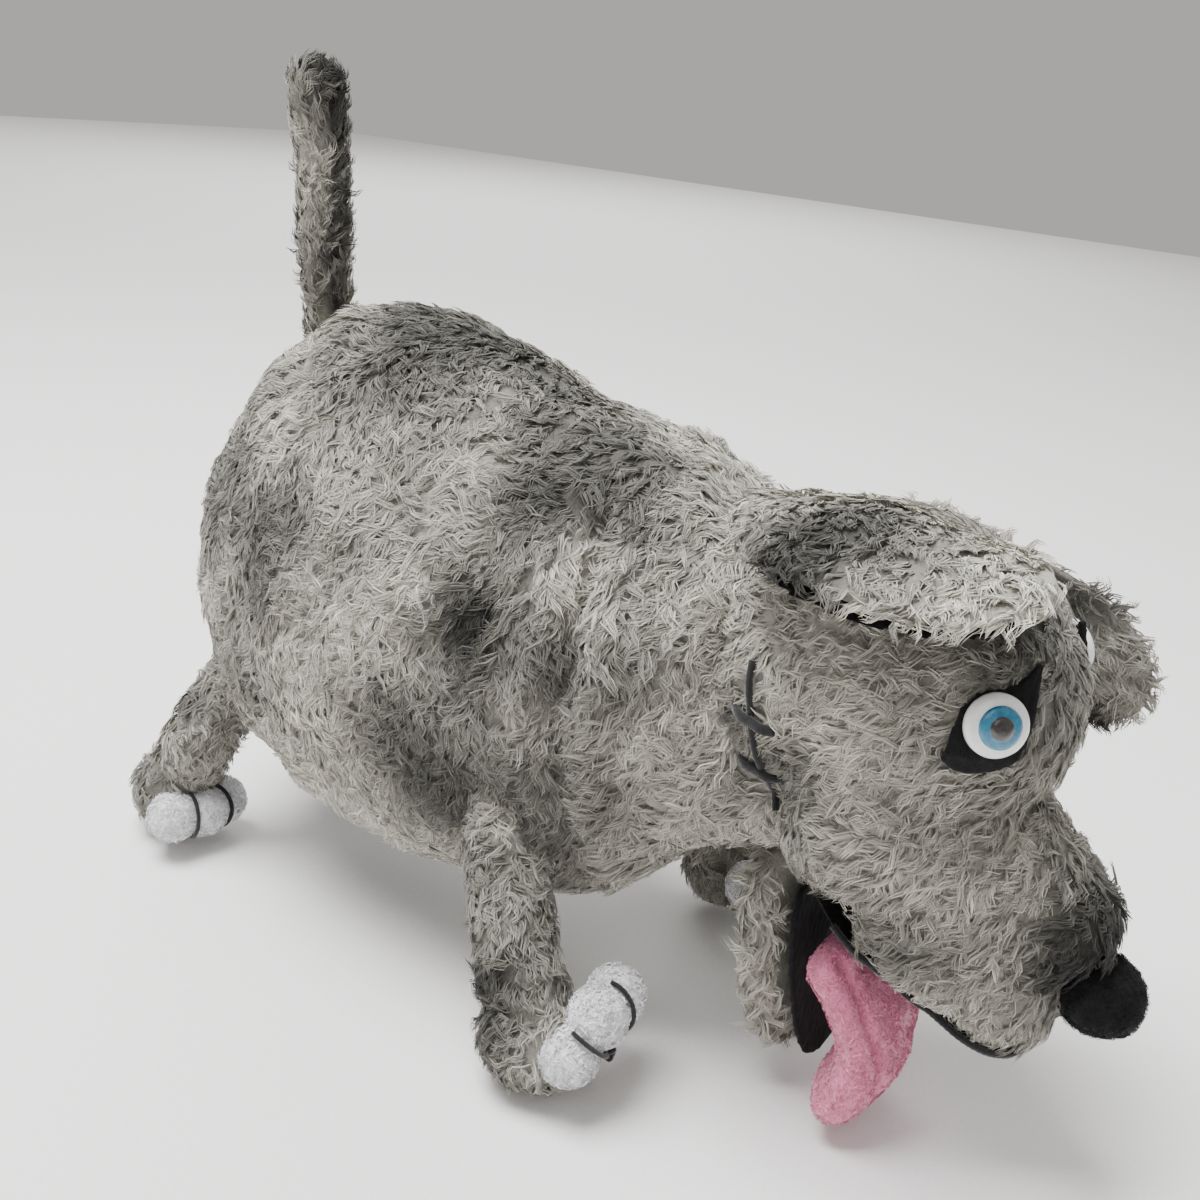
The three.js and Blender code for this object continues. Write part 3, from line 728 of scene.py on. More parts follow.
def body_shade(p):
    # painted shade: the pile is drawn darker along each fold line, where shade falls in the crease
    painted_crease_shade = np.zeros(len(p))
    for line, depth, wide in FOLDS:
        painted_crease_shade += 0.15 * depth * np.exp(-((to_line(p, line) / (wide * 0.6)) ** 2))
    return shade_at(p, BODY_PATCHES) * (1 - np.clip(painted_crease_shade, 0, 0.75))


def body_flow(p, n):
    return np.stack([0.25 * waves(p, 30, 31), 0.55 + 0.5 * waves(p, 34, 32), -0.9 + 0.3 * waves(p, 30, 33)],
                    -1)


def neck_bend(obj):
    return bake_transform(obj)


sleeve = backing("sleeve_skin", body_v, body_f, body_shade, replaces=("body_shell", "neck_sleeve"))
neck_bend(sleeve)


def sleeve_keep(p, n):
    return (seam_gap(p) > -4.5) & ~in_hole(p, 0.8)


pile("sleeve_pile", body_v, body_f, body_flow, body_shade, neck_bend, keep=sleeve_keep, centre=(0, 0, 86),
     seed=41)

# lining bag and the hem round the hand hole
bag, bag_f = body_grid(9.0, 60, 60)
bag, bag_f = rounded_rear(bag, bag_f, 60, 60)
bag_f = [f[::-1] for f in bag_f]
bag = bag + 1.1 * waves(bag, 16, 51)[:, None] * normals_of(bag, bag_f)
bag_f = [f for f in bag_f if not all(seam_gap(bag)[i] < 6 or bag[i, 1] < -60 for i in f)]
bag, bag_f = open_hole(bag, bag_f, 0.0)
bag, bag_f = without_loose(bag, bag_f)
bag, bag_f = processed(bag, bag_f, ("SOLIDIFY", {"thickness": 0.8, "offset": 0.0}))
lining = piece("hand_bag", bag, bag_f, LINING, "lining", replaces=("hand_lining",))
neck_bend(lining)


def belly_height(x, y):
    share = (y - FRONT) / (REAR - FRONT)
    e = 2 * share - 1
    r = np.sqrt(1 - e**2) ** (0.2 if e < 0 else 0.6)
    wide, tall = spread(WIDTHS, np.array([share]))[0], spread(HEIGHTS, np.array([share]))[0]
    drop = math.sqrt(max(0, 1 - (x / (r * (wide - PILE_DEPTH))) ** 2)) * r * (tall - PILE_DEPTH)
    return spread(MIDDLES, np.array([share]))[0] - drop


hem_path = []
for k in range(120):
    a = 2 * math.pi * k / 120
    x, y = HOLE[1] * math.sin(a), HOLE[0] + HOLE[2] * math.cos(a)
    hem_path.append((x * 0.985, HOLE[0] + (y - HOLE[0]) * 0.985,
                     belly_height(x, y) + 2.2 + 0.35 * math.sin(7 * a) + 0.2 * math.sin(17 * a)))
a = np.arange(20) * 2 * math.pi / 20
rolled = np.stack([4.0 * np.sign(np.cos(a)) * np.abs(np.cos(a)) ** 0.6, 1.2 * np.sin(a)], -1)
hem = piece("hem_roll", *sweep(hem_path, rolled, closed=True), LINING, "lining", replaces=("hem_band",))
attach(hem, "body")

# ---- head ----------------------------------------------------------------------------------------
MASSES = [(-86, 105, 34.5, 44, 36), (-95, 80, 34.5, 24, 30), (-105, 69, 28.5, 27, 32),
          (-122, 57, 19.5, 20.5, 33),
          (-113, 63, 24, 24, 32.5), (-130, 65, 17, 17.5, 15.5)]
LIP_Y, LIP_Z, LIP_SLOPE = -84.0, 60.5, math.tan(math.radians(30))


def lip_height(y):
    return LIP_Z + (y - LIP_Y) * LIP_SLOPE


head_parts = [ball((0, y, z), (w - PILE_DEPTH, l - PILE_DEPTH, h - PILE_DEPTH), 64, 44) for y, z, w, l,
              h in MASSES]
head_v, head_f = fused(head_parts, 2.2, 7)
under = lip_height(head_v[:, 1]) - head_v[:, 2]
front = head_v[:, 1] < LIP_Y
head_v[:, 2] += np.where(front, np.clip(under, 0, None), 0)
tucked = np.clip(1 - np.abs(head_v[:, 2] - lip_height(head_v[:, 1])) / 5, 0, 1) * front
head_v[:, 0] *= 1 - 0.05 * tucked
gap = np.hypot(head_v[:, 1] - NOD[1], head_v[:, 2] - NOD[2])
rear = (head_v[:, 1] > NOD[1]) & (gap > SEAM - 1.5)
pull = np.where(rear, (SEAM - 1.5) / np.maximum(gap, 1), 1)
head_v[:, 1] = NOD[1] + (head_v[:, 1] - NOD[1]) * pull
head_v[:, 2] = NOD[2] + (head_v[:, 2] - NOD[2]) * pull

BROWS = [((-22, -113, 123), 8, 2.2), ((22, -113, 123), 8, 2.2), ((-33, -88, 82), 12, 2.0),
         ((33, -88, 82), 12, 2.0),
         ((0, -132, 84), 9, -1.0), ((-19, -112, 50), 9, 1.6), ((19, -112, 50), 9, 1.6)]
head_n = normals_of(head_v, head_f)
if (head_n * (head_v - np.array([0, -95, 90]))).sum() < 0:
    head_f = [f[::-1] for f in head_f]
    head_n = -head_n
for centre, radius, out in BROWS:
    head_v += head_n * (out * np.exp(-((np.linalg.norm(head_v - np.array(centre, float),
                                                       axis=1) / radius) ** 2)))[:, None]
head_v += head_n * (0.5 * waves(head_v, 15, 61))[:, None]


def head_shade(p):
    # the head's base tone is set below the body's as painted shade on the head's side
    return shade_at(p, HEAD_PATCHES, base=0.72, seed=5)


def head_flow(p, n):
    back = np.stack([0.4 * np.sign(p[:, 0]) * np.ones(len(p)), 0.7 + 0.3 * waves(p, 20, 71),
                     -0.75 + 0 * p[:, 0]], -1)
    top = np.clip((p[:, 2] - 112) / 22, 0, 1)[:, None]
    snout = np.clip((-112 - p[:, 1]) / 14, 0, 1)[:, None]
    back = back * (1 - top) + np.array([0.0, 1.0, 0.1]) * top
    return back * (1 - snout) + snout * (np.stack([0.3 * p[:, 0] / 15, 0.5 + 0 * p[:, 0],
                                                   -0.9 + 0 * p[:, 0]], -1))


SURFACE = BVHTree.FromPolygons([tuple(v) for v in head_v], head_f)


def on_head(origin, direction):
    hit, normal, _, _ = SURFACE.ray_cast(Vector(origin), Vector(direction))
    return (np.array(hit), np.array(normal)) if hit is not None else (None, None)


EYE = np.array([-24.2, -116.4, 111.5])
EYE_OUT = np.array([-0.764, -0.597, 0.242])
EYE_X = np.array([0.616, -0.788, 0.0])
EYE_Y = np.array([0.191, 0.149, 0.970])
PATCH = [(-7.6, -8), (-3.6, -10.2), (4.9, -8.6), (7.8, -2.8), (8.7, 5.8), (9, 11.2), (4.3, 7), (-4.6, 4)]
FLIP = np.array([-1.0, 1, 1])
NOSE = np.array([0, -144.0, 52.0])
patch_edge = fine_path([(x, y, 0) for x, y in PATCH], 0.6, closed=True)[:, :2]


def in_outline(q, outline):
    inside = np.zeros(len(q), bool)
    j = len(outline) - 1
    for i in range(len(outline)):
        a, b = outline[i], outline[j]
        cross = ((a[1] > q[:, 1]) != (b[1] > q[:, 1])) & (
            q[:, 0] < (b[0] - a[0]) * (q[:, 1] - a[1]) / (b[1] - a[1] + 1e-12) + a[0])
        inside ^= cross
        j = i
    return inside


def under_patch(p):
    out = np.zeros(len(p), bool)
    for flip in (np.ones(3), FLIP):
        d = p * flip - EYE
        q = (np.stack([d @ EYE_X, d @ EYE_Y], -1) - np.array([1.0, -0.8])) * 1.14
        out |= in_outline(q, patch_edge) & (np.abs(d @ EYE_OUT) < 12)
    return out


STITCH_LINE = [(-71.6, 110), (-72.4, 104), (-74, 95), (-76.5, 86), (-80, 77.5)]
CROSS_STITCHES = [((-68.5, 99.5), (-79.5, 98)), ((-69, 87.5), (-80.5, 87))]


def stitch_points(line, side, lift):
    out = []
    for y, z in line:
        hit, normal = on_head((side * 80, y, z), (-side, 0, 0))
        if hit is not None:
            out.append(hit + normal * lift)
    return out


seam_lines = [stitch_points([(y, z) for y, z in fine_path([(0, y, z) for y, z in STITCH_LINE], 3)[:, 1:]],
                            s, 0)
              for s in (-1, 1)]


def head_keep(p, n):
    ok = ~under_patch(p)
    ok &= np.linalg.norm(p - NOSE, axis=1) > 8.8
    ok &= ~((n[:, 2] < -0.75) & (p[:, 1] < LIP_Y) & (p[:, 2] < lip_height(p[:, 1]) + 1.0))
    for line in seam_lines:
        ok &= to_line(p, line) > 0.8
    behind_ = np.hypot(p[:, 1] - NOD[1], p[:, 2] - NOD[2]) > SEAM - 2.4
    return ok & ~((p[:, 1] > NOD[1]) & behind_ & (n[:, 1] > 0.9))


head = backing("head_skin", head_v, head_f, head_shade, replaces=("head_shell",))
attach(head, "head")
pile("head_pile", head_v, head_f, head_flow, head_shade, riding("head"), keep=head_keep, centre=(0, 0, 92),
     seed=81,
     length=4.6)

stuffing_v, stuffing_f = fused([ball((0, y, z), (w - 9, l - 9, h - 9), 32, 22) for y, z, w, l,
                                h in MASSES[:2]], 3.0, 4)
stuffing_v += normals_of(stuffing_v, stuffing_f) * (0.8 * waves(stuffing_v, 7, 91))[:, None]
filling = piece("head_stuffing", stuffing_v, stuffing_f, STUFFING, "stuffing", replaces=("head_foam",))
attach(filling, "head")


# ---- felt pieces, taken from their solids and softened -------------------------------------------
def felt_from(node, name, voxel=0.5, move=(0, 0, 0), shrink=(1, 1, 1), rough=0.08, shape=None):
    v, t = triangles(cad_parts[node].data)
    world = np.array(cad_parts[node].matrix_world)
    v = (v @ world[:3, :3].T + world[:3, 3]) * 1000 - SHIFT
    v, f = processed(v, [tuple(x) for x in t], ("REMESH", {"mode": "VOXEL", "voxel_size": voxel}),
                     ("SMOOTH", {"factor": 0.5, "iterations": 3}))
    n = normals_of(v, f)
    v = v + n * (rough * waves(v, 1.6, 7))[:, None] + np.array(move, float)
    v = v.mean(0) + (v - v.mean(0)) * np.array(shrink)
    v = shape(v) if shape else v
    return piece(name, v, f, FELT, "black_felt", replaces=(node,))


palate = felt_from("upper_mouth_felt", "palate_felt", 0.6)
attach(palate, "head")
jaw_felt = felt_from("lower_mouth_felt", "jaw_felt", 0.6, shrink=(0.86, 1, 0.9), move=(0, 0, 2))
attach(jaw_felt, "jaw")
for label, flip in (("right", np.ones(3)), ("left", FLIP)):
    patch = felt_from(f"eye_patch_{label}", f"patch_felt_{label}", 0.45, move=-EYE_OUT * flip * 1.3)
    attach(patch, "head")

# ---- eyes ----------------------------------------------------------------------------------------
EYE_PROFILE = [(0, -9), (1.6, -9), (1.6, 0.9), (5.7, 0.9), (6.0, 1.3), (6.0, 2.2), (5.75, 2.8), (5.2, 3.25),
               (4.3, 3.6),
               (4.05, 3.7), (4.0, 3.95), (3.4, 4.25), (2.35, 4.5), (2.2, 4.52), (2.12, 4.75), (1.2, 4.95),
               (0, 5.0)]
IRIS_RING, PUPIL_RING = 9, 13      # where the iris and the pupil begin in the profile
for label, flip in (("right", np.ones(3)), ("left", FLIP)):
    turns = 48
    rows = []
    for r, h in EYE_PROFILE:
        spin = np.arange(turns) * 2 * math.pi / turns
        rows.append(EYE + np.outer(r * np.cos(spin), EYE_X) + np.outer(r * np.sin(spin),
                                                                       EYE_Y) + h * EYE_OUT)
    v = np.vstack(rows) * flip
    f = tube_faces(len(EYE_PROFILE), turns)
    f = f if label == "left" else [g[::-1] for g in f]
    eye = piece(f"eye_{label}_dome", v, f, [EYE_WHITE, EYE_IRIS, EYE_PUPIL], "eye_plastic",
                replaces=(f"eye_{label}",))
    ring_of = np.array([min(g) // turns for g in f])
    index = np.where(ring_of >= PUPIL_RING, 2, np.where(ring_of >= IRIS_RING, 1, 0))
    eye.data.polygons.foreach_set("material_index", index.astype(np.int32))
    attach(eye, "head")
    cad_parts[f"eye_washer_{label}"].data.materials.clear()
    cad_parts[f"eye_washer_{label}"].data.materials.append(WASHER)

# ---- nose: a stuffed ball of black fleece, gathered in faint upright ridges -----------------------
nose_v, nose_f = ball(NOSE, (8.5, 8.5, 8.7), 72, 48)
nose_n = unit(nose_v - NOSE)
nose_v += nose_n * (0.16 * np.sin(nose_v[:, 0] * 4.6 + 0.5 * waves(nose_v, 6, 29)) + 0.3 * waves(nose_v, 7,
    28))[:, None]
nose = piece("nose_fleece", nose_v, nose_f, FELT, "black_felt", replaces=("nose",))
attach(nose, "head")

# ---- cheek stitches ------------------------------------------------------------------------------
for label, side in (("right", -1), ("left", 1)):
    yarns = []
    line = fine_path([(0, y, z) for y, z in STITCH_LINE], 2.0)[:, 1:]
    route = stitch_points([tuple(q) for q in line], side, 1.5)
    route = [q + np.array([side * 0.5 * math.sin(i * 0.9), 0, 0]) for i, q in enumerate(route)]
    yarns.append(twisted(route, 0.75, 3, 3.5))
    for a, b in CROSS_STITCHES:
        bar = [(a[0] + (b[0] - a[0]) * t, a[1] + (b[1] - a[1]) * t) for t in (0, 0.25, 0.5, 0.75, 1)]
        bar = stitch_points(bar, side, 2.2)
        if len(bar) > 3:
            bar[0] = bar[0] - np.array([side * 2.6, 0, 0])
            bar[-1] = bar[-1] - np.array([side * 2.6, 0, 0])
            yarns.append(twisted(bar, 1.05, 3, 3.5))
    stitch = piece(f"cheek_yarn_{label}", *joined(*yarns), YARN, "black_yarn",
                   replaces=(f"cheek_stitches_{label}",))
    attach(stitch, "head")

# ---- cord along the upper lip --------------------------------------------------------------------
def inside_head(x, y, z):
    return any((x / w) ** 2 + ((y - my) / l) ** 2 + ((z - mz) / h) ** 2 < 1 for my, mz, w, l, h in MASSES)


lip_route = []
for step in range(41):
    angle = math.pi * (1.03 + 0.94 * step / 40)
    reach = 5.0
    while inside_head(reach * math.cos(angle), -92 + reach * math.sin(angle),
                      lip_height(-92 + reach * math.sin(angle))):
        reach += 0.25
    x, y = (reach - 2.4) * math.cos(angle), -92 + (reach - 2.4) * math.sin(angle)
    lip_route.append((x, y, lip_height(y) - 0.2))
lip = piece("lip_yarn", *twisted(lip_route, 0.75, 2, 2.6, 0.6), YARN, "black_yarn", replaces=("lip_cord",))
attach(lip, "head")


# ---- lower jaw -----------------------------------------------------------------------------------
JAW = {"y": -74.5, "z": 57.0, "length": 57.0, "half": 24.0, "tip": 19.5, "thick": 7.2,
       "lean": math.radians(-9.5)}


def jaw_place(v):
    c, s = math.cos(JAW["lean"]), math.sin(JAW["lean"])
    out = v.copy()
    out[:, 1] = v[:, 1] * c - v[:, 2] * s + JAW["y"]
    out[:, 2] = v[:, 1] * s + v[:, 2] * c + JAW["z"]
    return out


jaw_v, jaw_f = ball((0, 0, 0), (1, 1, 1), 64, 40)
share = (1 - jaw_v[:, 2]) / 2
ring = np.hypot(jaw_v[:, 0], jaw_v[:, 1])
puffed = np.where(ring > 1e-5, ring**0.55 / np.maximum(ring, 1e-6), 0)
wide = JAW["half"] + (JAW["tip"] - JAW["half"]) * share**1.5 - PILE_DEPTH
jaw_x = jaw_v[:, 0] * puffed * wide
jaw_y = np.sign(jaw_v[:, 1]) * np.abs(jaw_v[:, 1] * puffed) ** 0.8 * (JAW["thick"] - 2.0)
jaw_y = np.clip(jaw_y, -JAW["thick"] + 2.2, None)
jaw_v = jaw_place(np.stack([jaw_x, jaw_y + 0.8, -share * (JAW["length"] - 2 * PILE_DEPTH) + 3], -1))
jaw_f = facing_out(jaw_v, jaw_f)
jaw_v += normals_of(jaw_v, jaw_f) * (0.5 * waves(jaw_v, 13, 95))[:, None]


def jaw_shade(p):
    return shade_at(p, JAW_PATCHES, base=0.84, seed=9)


def jaw_bend(obj):
    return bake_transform(obj)


def jaw_keep(p, n):
    face = math.cos(JAW["lean"]) * n[:, 1] + math.sin(JAW["lean"]) * n[:, 2]
    return ~((face < -0.75) & (np.abs(p[:, 0]) < wide_at(p[:, 2]) - 6.0) & (p[:, 2] > 11))


def wide_at(z):
    s = np.clip((60 - z) / 54, 0, 1)
    return JAW["half"] + (JAW["tip"] - JAW["half"]) * s**1.5 - PILE_DEPTH - 3 * s**6


def downward(p, n):
    return np.stack([0.3 * waves(p, 14, 97), 0.2 * waves(p, 14, 98), -1 + 0 * p[:, 0]], -1)


jaw = backing("jaw_skin", jaw_v, jaw_f, jaw_shade, replaces=("lower_jaw",))
jaw_bend(jaw)
pile("jaw_pile", jaw_v, jaw_f, downward, jaw_shade, jaw_bend, keep=jaw_keep, centre=(0, -78, 0), axis="z",
     seed=99,
     length=4.8, wild=0.7)


# ---- tongue --------------------------------------------------------------------------------------
def nap(obj_name, verts, faces, tint, shade_root, length, width, per_mm2, seed, hold, keep=None,
        material=NAP):
    pile(obj_name, verts, faces, lambda p,
         n: np.stack([waves(p, 3, 1), waves(p, 3, 2), -1 + waves(p, 3, 3)], -1),
         lambda p: np.ones(len(p)), hold, keep=keep, per_mm2=per_mm2, length=length, width=width, lay=0.25,
         curl=1.2,
         wild=1.4, members=3, centre=tuple(verts.mean(0)), axis="z", seed=seed, root=shade_root, tint=tint,
         material=material)


nap("nose_nap", nose_v, nose_f, (0.012, 0.012, 0.013), 0.6, 0.9, 0.16, 5.0, 33, riding("head"),
    keep=lambda p, n: p[:, 1] < NOSE[1] + 5, material=BLACK_NAP)


def tongue_bend(obj):
    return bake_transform(obj)


v, t = triangles(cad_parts["tongue"].data)
v = v * 1000 - SHIFT
tongue_v, tongue_f = processed(v, [tuple(x) for x in t], ("REMESH", {"mode": "VOXEL", "voxel_size": 0.9}),
                               ("SMOOTH", {"factor": 0.5, "iterations": 22}))
n = normals_of(tongue_v, tongue_f)
if (n * (tongue_v - tongue_v.mean(0))).sum() < 0:
    tongue_f = [f[::-1] for f in tongue_f]
    n = -n
tongue_v[:, 0] = -5 + (tongue_v[:, 0] + 5) * (1 + 0.14 * np.clip((30 - tongue_v[:, 2]) / 20, 0, 1))
FRONT_ON = np.array([1, 0, 1.0])
crease = to_line(tongue_v * FRONT_ON, [(-15.5, 0, 42), (-16.0, 0, 30), (-14.5, 0, 16), (-11.0, 0, 2)])
crease = np.where(n[:, 1] < 0.1, crease, 9.0)
fold_r = to_line(tongue_v, [(1.5, -104, 34), (2.0, -108, 22), (1.0, -108, 12)])
tongue_v[:, 2] += 3.5 * np.clip((26 - tongue_v[:, 2]) / 24, 0, 1)
tongue_v = tongue_v + n * (1.9 - 2.0 * np.exp(-((crease / 0.9) ** 2)) - 0.3 * np.exp(-((fold_r / 2.5) ** 2))
                           + 0.25 * waves(tongue_v, 5, 23))[:, None]
tongue = piece("tongue_fleece", tongue_v, tongue_f, PINK, "pink_fleece", replaces=("tongue",))
tongue_bend(tongue)
nap("tongue_nap", tongue_v, tongue_f, (0.86, 0.3, 0.46), 0.75, 1.1, 0.22, 3.6, 27, tongue_bend)


# ---- legs and paws -------------------------------------------------------------------------------
LEGS = {
    "front_right": ((-38, -16, 60), (-47, -41, 12.3), 36, 1,
                    [(-2, -10.5, 3), (4.5, -13, 10.5), (13, -12, 10.5)]),
    "front_left": ((-36, -20, 60), (-42, -42, 12.3), 24, -1,
                   [(-5.89, -10.5, 0), (1.5, -13, 4.5), (9, -11, 5)]),
    "rear_right": ((-29, 78, 56), (-33, 98, 12.3), 6, 1,
                   [(-8.5, -9.8, -0.6), (-0.2, -12, -1.5), (8.2, -9.8, -2.4)]),
    "rear_left": ((-29, 78, 56), (-33, 98, 12.3), 6, -1,
                  [(-8.5, -9.8, -0.6), (-0.2, -12, -1.5), (8.2, -9.8, -2.4)]),
}
PAW = np.array([13, 16, 13.5])


def leg_shade(p):
    # the legs' base tone is set low as painted shade, for legs standing in shade under the body
    return shade_at(p, LEG_PATCHES, base=0.6, seed=13)


def about_y(degrees):
    c, s = math.cos(math.radians(degrees)), math.sin(math.radians(degrees))
    return np.array([[c, 0, s], [0, 1, 0], [-s, 0, c]])


for name, (hip, ankle, roll, way, lobes) in LEGS.items():
    mirror = np.array([way, 1, 1], float)
    hip, ankle = np.array(hip, float), np.array(ankle, float)
    turn = about_y(roll)
    route = [hip + (ankle - hip) * k / 9 + np.array([8.5, 0, 0]) * max(0, 1 - k / 4.5) for k in range(10)]
    limb = [ball(q, (8.6 + 0.4 * (k / 9) + 1.3 * max(0, 1 - k / 3),) * 3, 24, 16) for k,
            q in enumerate(route)]
    paw = ball(ankle + np.array([0, 0, 1.0]), PAW - PILE_DEPTH, 40, 28, turn)
    leg_v, leg_f = fused(limb + [paw], 1.6, 6)
    leg_v[:, 2] = np.maximum(leg_v[:, 2], 1.0)
    leg_v = leg_v * mirror
    leg_f = facing_out(leg_v, leg_f)
    leg_v += normals_of(leg_v, leg_f) * (0.35 * waves(leg_v, 9, 101))[:, None]
    toes = [np.array(lobe) + ankle for lobe in lobes]
    toe_v, toe_f = fused([ball(q, (6.7, 6.7, 6.7), 32, 22) for q in toes], 0.8, 3)
    toe_v = toe_v * mirror
    toe_f = facing_out(toe_v, toe_f)
    where, side_name = name.split("_")
    leg = backing(f"{name}_leg_skin", leg_v, leg_f, leg_shade, replaces=(f"{where}_leg_{side_name}",))
    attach(leg, f"{name}_leg")
    toe_centres = [q * mirror for q in toes]

    def off_toes(p, n, c=toe_centres):
        clear = p[:, 2] > 1.6
        for q in c:
            clear &= np.linalg.norm(p - q, axis=1) > 7.4
        return clear & ~((n[:, 2] < -0.6) & (p[:, 2] < 3))

    pile(f"{name}_leg_pile", leg_v, leg_f, downward, leg_shade, riding(f"{name}_leg"), keep=off_toes,
         centre=tuple((hip + ankle) / 2 * mirror), axis="z", seed=103 + len(name) + way, length=4.4,
         wild=0.7)
    toe = piece(f"{name}_toe_fleece", toe_v, toe_f, WHITE, "white_fleece",
                replaces=(f"{where}_toes_{side_name}",))
    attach(toe, f"{name}_leg")
    nap(f"{name}_toe_nap", toe_v, toe_f, (0.84, 0.84, 0.87), 0.8, 1.3, 0.3, 4.0, 111 + way,
        riding(f"{name}_leg"))
    for label, part in (("outer", -0.5), ("inner", 0.5)):
        mid = (toes[0] + toes[1]) / 2 if part < 0 else (toes[1] + toes[2]) / 2
        axis = unit(toes[1] - toes[0]) if part < 0 else unit(toes[2] - toes[1])
        ahead = unit(np.array([0, -1.0, 0]) - axis * (-axis[1]))
        up = np.cross(axis, ahead)
        up = up if up[2] > 0 else -up
        route = []
        for k in range(9):
            a = math.radians(-62 + 150 * k / 8)
            route.append((mid + 6.6 * (math.cos(a) * ahead + math.sin(a) * up)) * mirror)
        thread = [twisted(route, 0.55, 2, 2.4, 0.5)]
        if name == "front_right" and label == "outer":
            end = route[0]
            knot = [end + np.array(q, float) for q in
                    [(0, 0, 0), (1.6, -1.2, -0.4), (0.2, -2.4, 0.8), (-1.6, -1.0, 0.3), (0, 0.4, -1.2),
                     (1.2, -1.6, 1.0),
                     (-0.6, -2.2, -1.2), (0.4, -0.4, 1.4)]]
            thread.append(twisted(knot, 0.75, 2, 2.4, 0.4))
            thread.append(twisted([end, end + np.array([1.5, -1.5, -2]), end + np.array([3.2, -1.2, -2.6])],
                                  0.45, 2, 2, 0.4))
        yarn = piece(f"{name}_toe_yarn_{label}", *joined(*thread), YARN, "black_yarn",
                     replaces=(f"{where}_toe_thread_{side_name}_{label}",))
        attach(yarn, f"{name}_leg")

# ---- ears ----------------------------------------------------------------------------------------
EARS = {
    "right": {"root": (-10, -91, 143), "reach": 36, "tilt": 12, "bow": 2, "skew": 2, "way": 1},
    "left": {"root": (-27, -84, 134), "reach": 49, "tilt": 64, "bow": 3, "skew": 32, "way": -1},
}


ROOT_DROP = 5.5                    # how far an ear sinks towards the head at its seam
LINING_LIFT = 4.2                  # brings the hanging ear's lining between its two plush faces


def ear_shade(p):
    return shade_at(p, EAR_PATCHES, base=0.82, seed=15)


for label, ear in EARS.items():
    v, f = ball((0, 0, 0), (1, 1, 1), 56, 40)
    inset, half = 2.0, 2.3
    out = (1 - v[:, 0]) / 2 * (ear["reach"] - inset)
    part = out / ear["reach"]
    thick = np.sign(v[:, 2]) * np.abs(v[:, 2]) ** 0.6 * half
    hump = 2.2 * np.exp(-(((v[:, 1] - 0.1) / 0.35) ** 2)) * np.exp(-((part / 0.35) ** 2))
    flap = np.stack([-out, v[:, 1] * (32 - inset) - ear["skew"] * part,
                     thick - 2 * ear["bow"] * part**2 + hump
                     + 0.8 * np.sin(v[:, 1] * 4 + 1) * part], -1)
    flap[:, 2] -= ROOT_DROP * np.clip(1 - part / 0.4, 0, 1) ** 1.5
    a = math.radians(ear["tilt"])
    turn = np.array([[math.cos(a), 0, -math.sin(a)], [0, 1, 0], [math.sin(a), 0, math.cos(a)]])
    flap = flap @ turn.T
    flap = (flap + np.array(ear["root"], float)) * np.array([ear["way"], 1, 1])
    f = facing_out(flap, f)
    out_way = np.array([-1.0 * ear["way"], 0, -0.6])
    skin_piece = backing(f"ear_{label}_skin", flap, f, ear_shade, replaces=(f"ear_{label}",))
    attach(skin_piece, f"{label}_ear")
    both = label == "left"
    pile(f"ear_{label}_pile", flap, f, lambda p, n, o=out_way: np.tile(o, (len(p), 1)), ear_shade,
         riding(f"{label}_ear"), centre=tuple(flap.mean(0)), axis="flat", seed=121 + len(label), length=4.3,
         root=0.72, keep=lambda p, n, w=ear["way"], t=a, b=both: b | (
             (n[:, 2] * math.cos(t) - n[:, 0] * w * math.sin(t)) > -0.88))
    lift = LINING_LIFT if both else 0.0

    def along_ear(v, e=ear, m=turn, up=lift):
        q = (v * np.array([e["way"], 1, 1]) - np.array(e["root"], float)) @ m
        q[:, 2] += up - ROOT_DROP * np.clip(1 + q[:, 0] / e["reach"] / 0.4, 0, 1) ** 1.5
        return (q @ m.T + np.array(e["root"], float)) * np.array([e["way"], 1, 1])

    under_felt = felt_from(f"ear_lining_{label}", f"ear_felt_{label}", 0.6, shrink=(0.97, 0.97, 1),
                           shape=along_ear)
    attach(under_felt, f"{label}_ear")

# ---- tail ----------------------------------------------------------------------------------------
TAIL = {"y": 75.0, "z": 148.0, "length": 62.0, "lean": math.radians(6)}
tail_route = []
for k in range(24):
    h = -8 + (TAIL["length"] + 1) * k / 23
    tail_route.append((0.8 * math.sin(h / 17),
                       TAIL["y"] + h * math.sin(TAIL["lean"]) + 0.5 * math.sin(h / 13),
                       TAIL["z"] + h * math.cos(TAIL["lean"])))
tail_parts = [ball(q, (5.2 + 0.9 * k / 23,) * 3, 24, 16) for k, q in enumerate(tail_route)]
tail_v, tail_f = fused(tail_parts, 1.2, 5)
tail_f = facing_out(tail_v, tail_f)


def tail_shade(p):
    stripe = np.exp(-(((p[:, 0] - 1.5 * np.sin(p[:, 2] / 9)) / 3.4) ** 2)) * np.clip(1.1 - 0.1 * waves(p, 8,
        19), 0.6, 1.2)
    tip = np.exp(-(((p[:, 2] - 205) / 12) ** 2)) * np.exp(-(((p[:, 1] - 74) / 7) ** 2))
    return (0.84 + 0.06 * waves(p, 10, 18)) * (1 - 0.78 * stripe) * (1 - 0.7 * tip)


tail = backing("tail_skin", tail_v, tail_f, tail_shade, replaces=("tail",))
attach(tail, "tail_roll")
pile("tail_pile", tail_v, tail_f, lambda p, n: np.tile([0.05, 0.0, 1.0], (len(p), 1)), tail_shade,
     riding("tail_roll"),
     centre=(0, 78, 0), axis="z", seed=131, length=4.6)

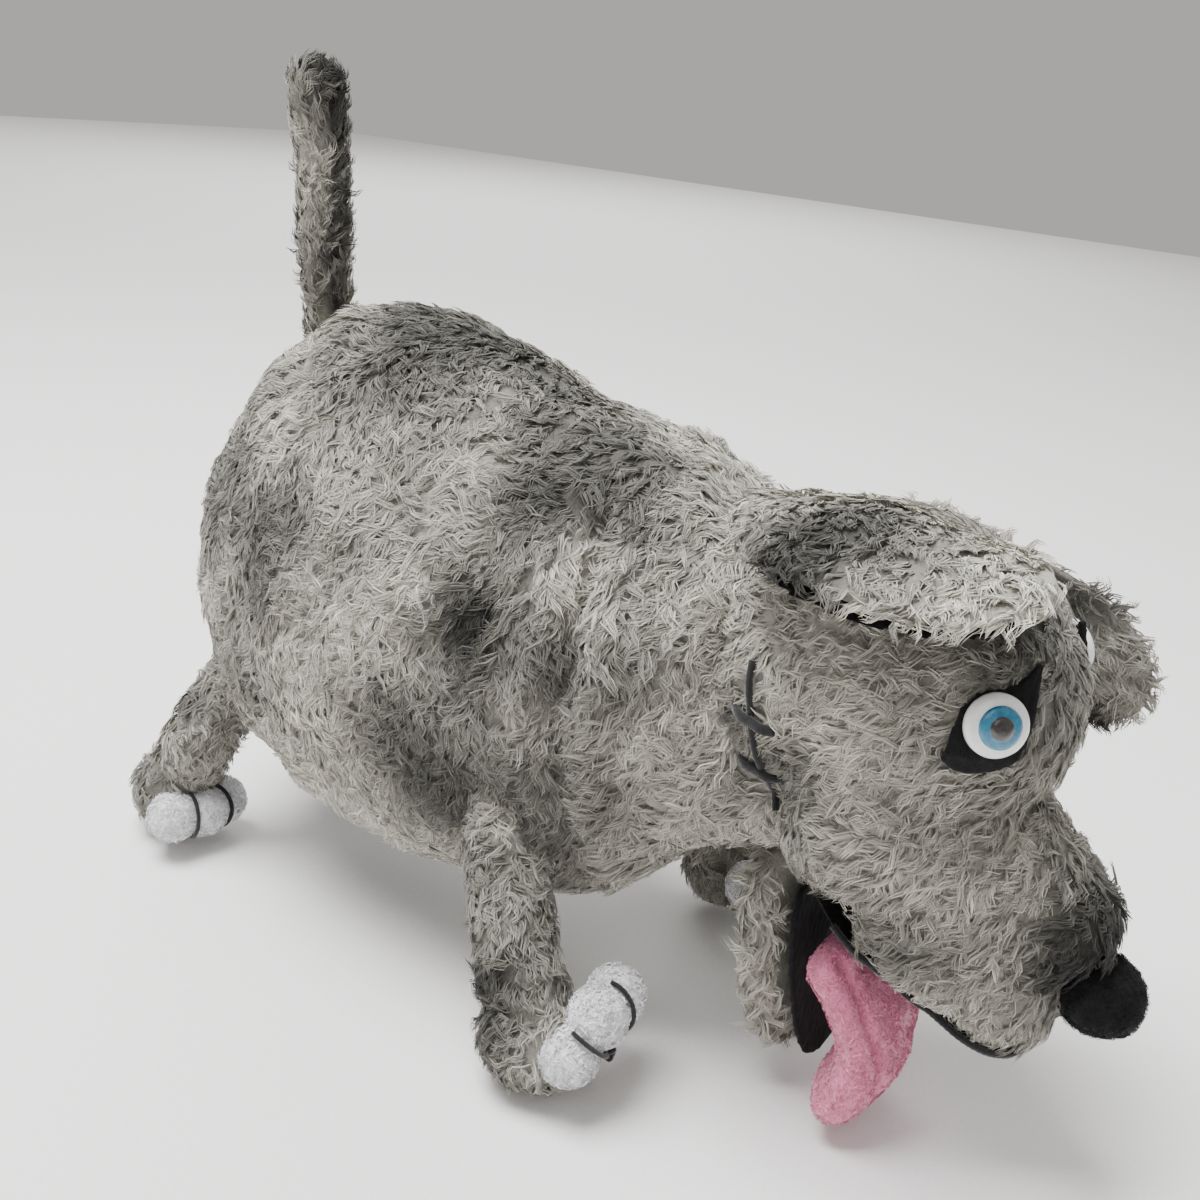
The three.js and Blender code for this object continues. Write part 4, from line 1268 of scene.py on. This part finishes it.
# ---- table, light and camera ---------------------------------------------------------------------
bpy.ops.mesh.primitive_plane_add(size=6, location=(0, 0, -0.0002))
table = bpy.context.active_object
table.name = "table_top"
m, nodes, links, shader = new_material("table_cloth")
n = noise_of(nodes, links, 900, 3.0)
links.new(ramp(nodes, links, n, [(0.3, (0.86, 0.85, 0.84)), (0.7, (0.91, 0.9, 0.89))]),
          shader.inputs["Base Color"])
shader.inputs["Roughness"].default_value = 0.85
table.data.materials.append(m)

world = bpy.data.worlds.new("studio")
bpy.context.scene.world = world
world.use_nodes = True
world.node_tree.nodes["Background"].inputs["Color"].default_value = (0.98, 0.96, 0.93, 1)
world.node_tree.nodes["Background"].inputs["Strength"].default_value = 0.48


def area_light(name, place, target, size, power, colour=(1, 1, 1)):
    data = bpy.data.lights.new(name, "AREA")
    data.size = size
    data.energy = power
    data.color = colour
    obj = linked(name, data)
    obj.location = place
    obj.rotation_euler = (Vector(target) - Vector(place)).to_track_quat("-Z", "Y").to_euler()


area_light("overhead", (-0.2, 0.25, 1.1), (0, 0, 0.08), 0.6, 30)
area_light("window", (-0.9, -0.3, 0.9), (0, 0, 0.1), 0.8, 2.5)
area_light("fill", (0.9, -0.5, 0.6), (0, 0, 0.1), 0.9, 2)
area_light("backdrop", (1.6, 1.3, 1.3), (1.5, 1.2, 0), 1.6, 32)

azimuth, elevation, roll = math.radians(-58.1), math.radians(21.7), math.radians(6.3)
behind = Vector((math.sin(azimuth) * math.cos(elevation), -math.cos(azimuth) * math.cos(elevation),
                 math.sin(elevation)))
right = Vector((math.cos(azimuth), math.sin(azimuth), 0))
up = behind.cross(right)
across = right * math.cos(roll) + up * math.sin(roll)
above = -right * math.sin(roll) + up * math.cos(roll)
camera_data = bpy.data.cameras.new("camera")
camera_data.sensor_width = 36
camera_data.lens = 38.1
camera_data.clip_start = 0.01
camera = linked("camera", camera_data)
turn = Matrix((across, above, behind)).transposed()
camera.matrix_world = Matrix.Translation(at(-237.1, -163.9, 208.7)) @ turn.to_4x4()
bpy.context.scene.camera = camera
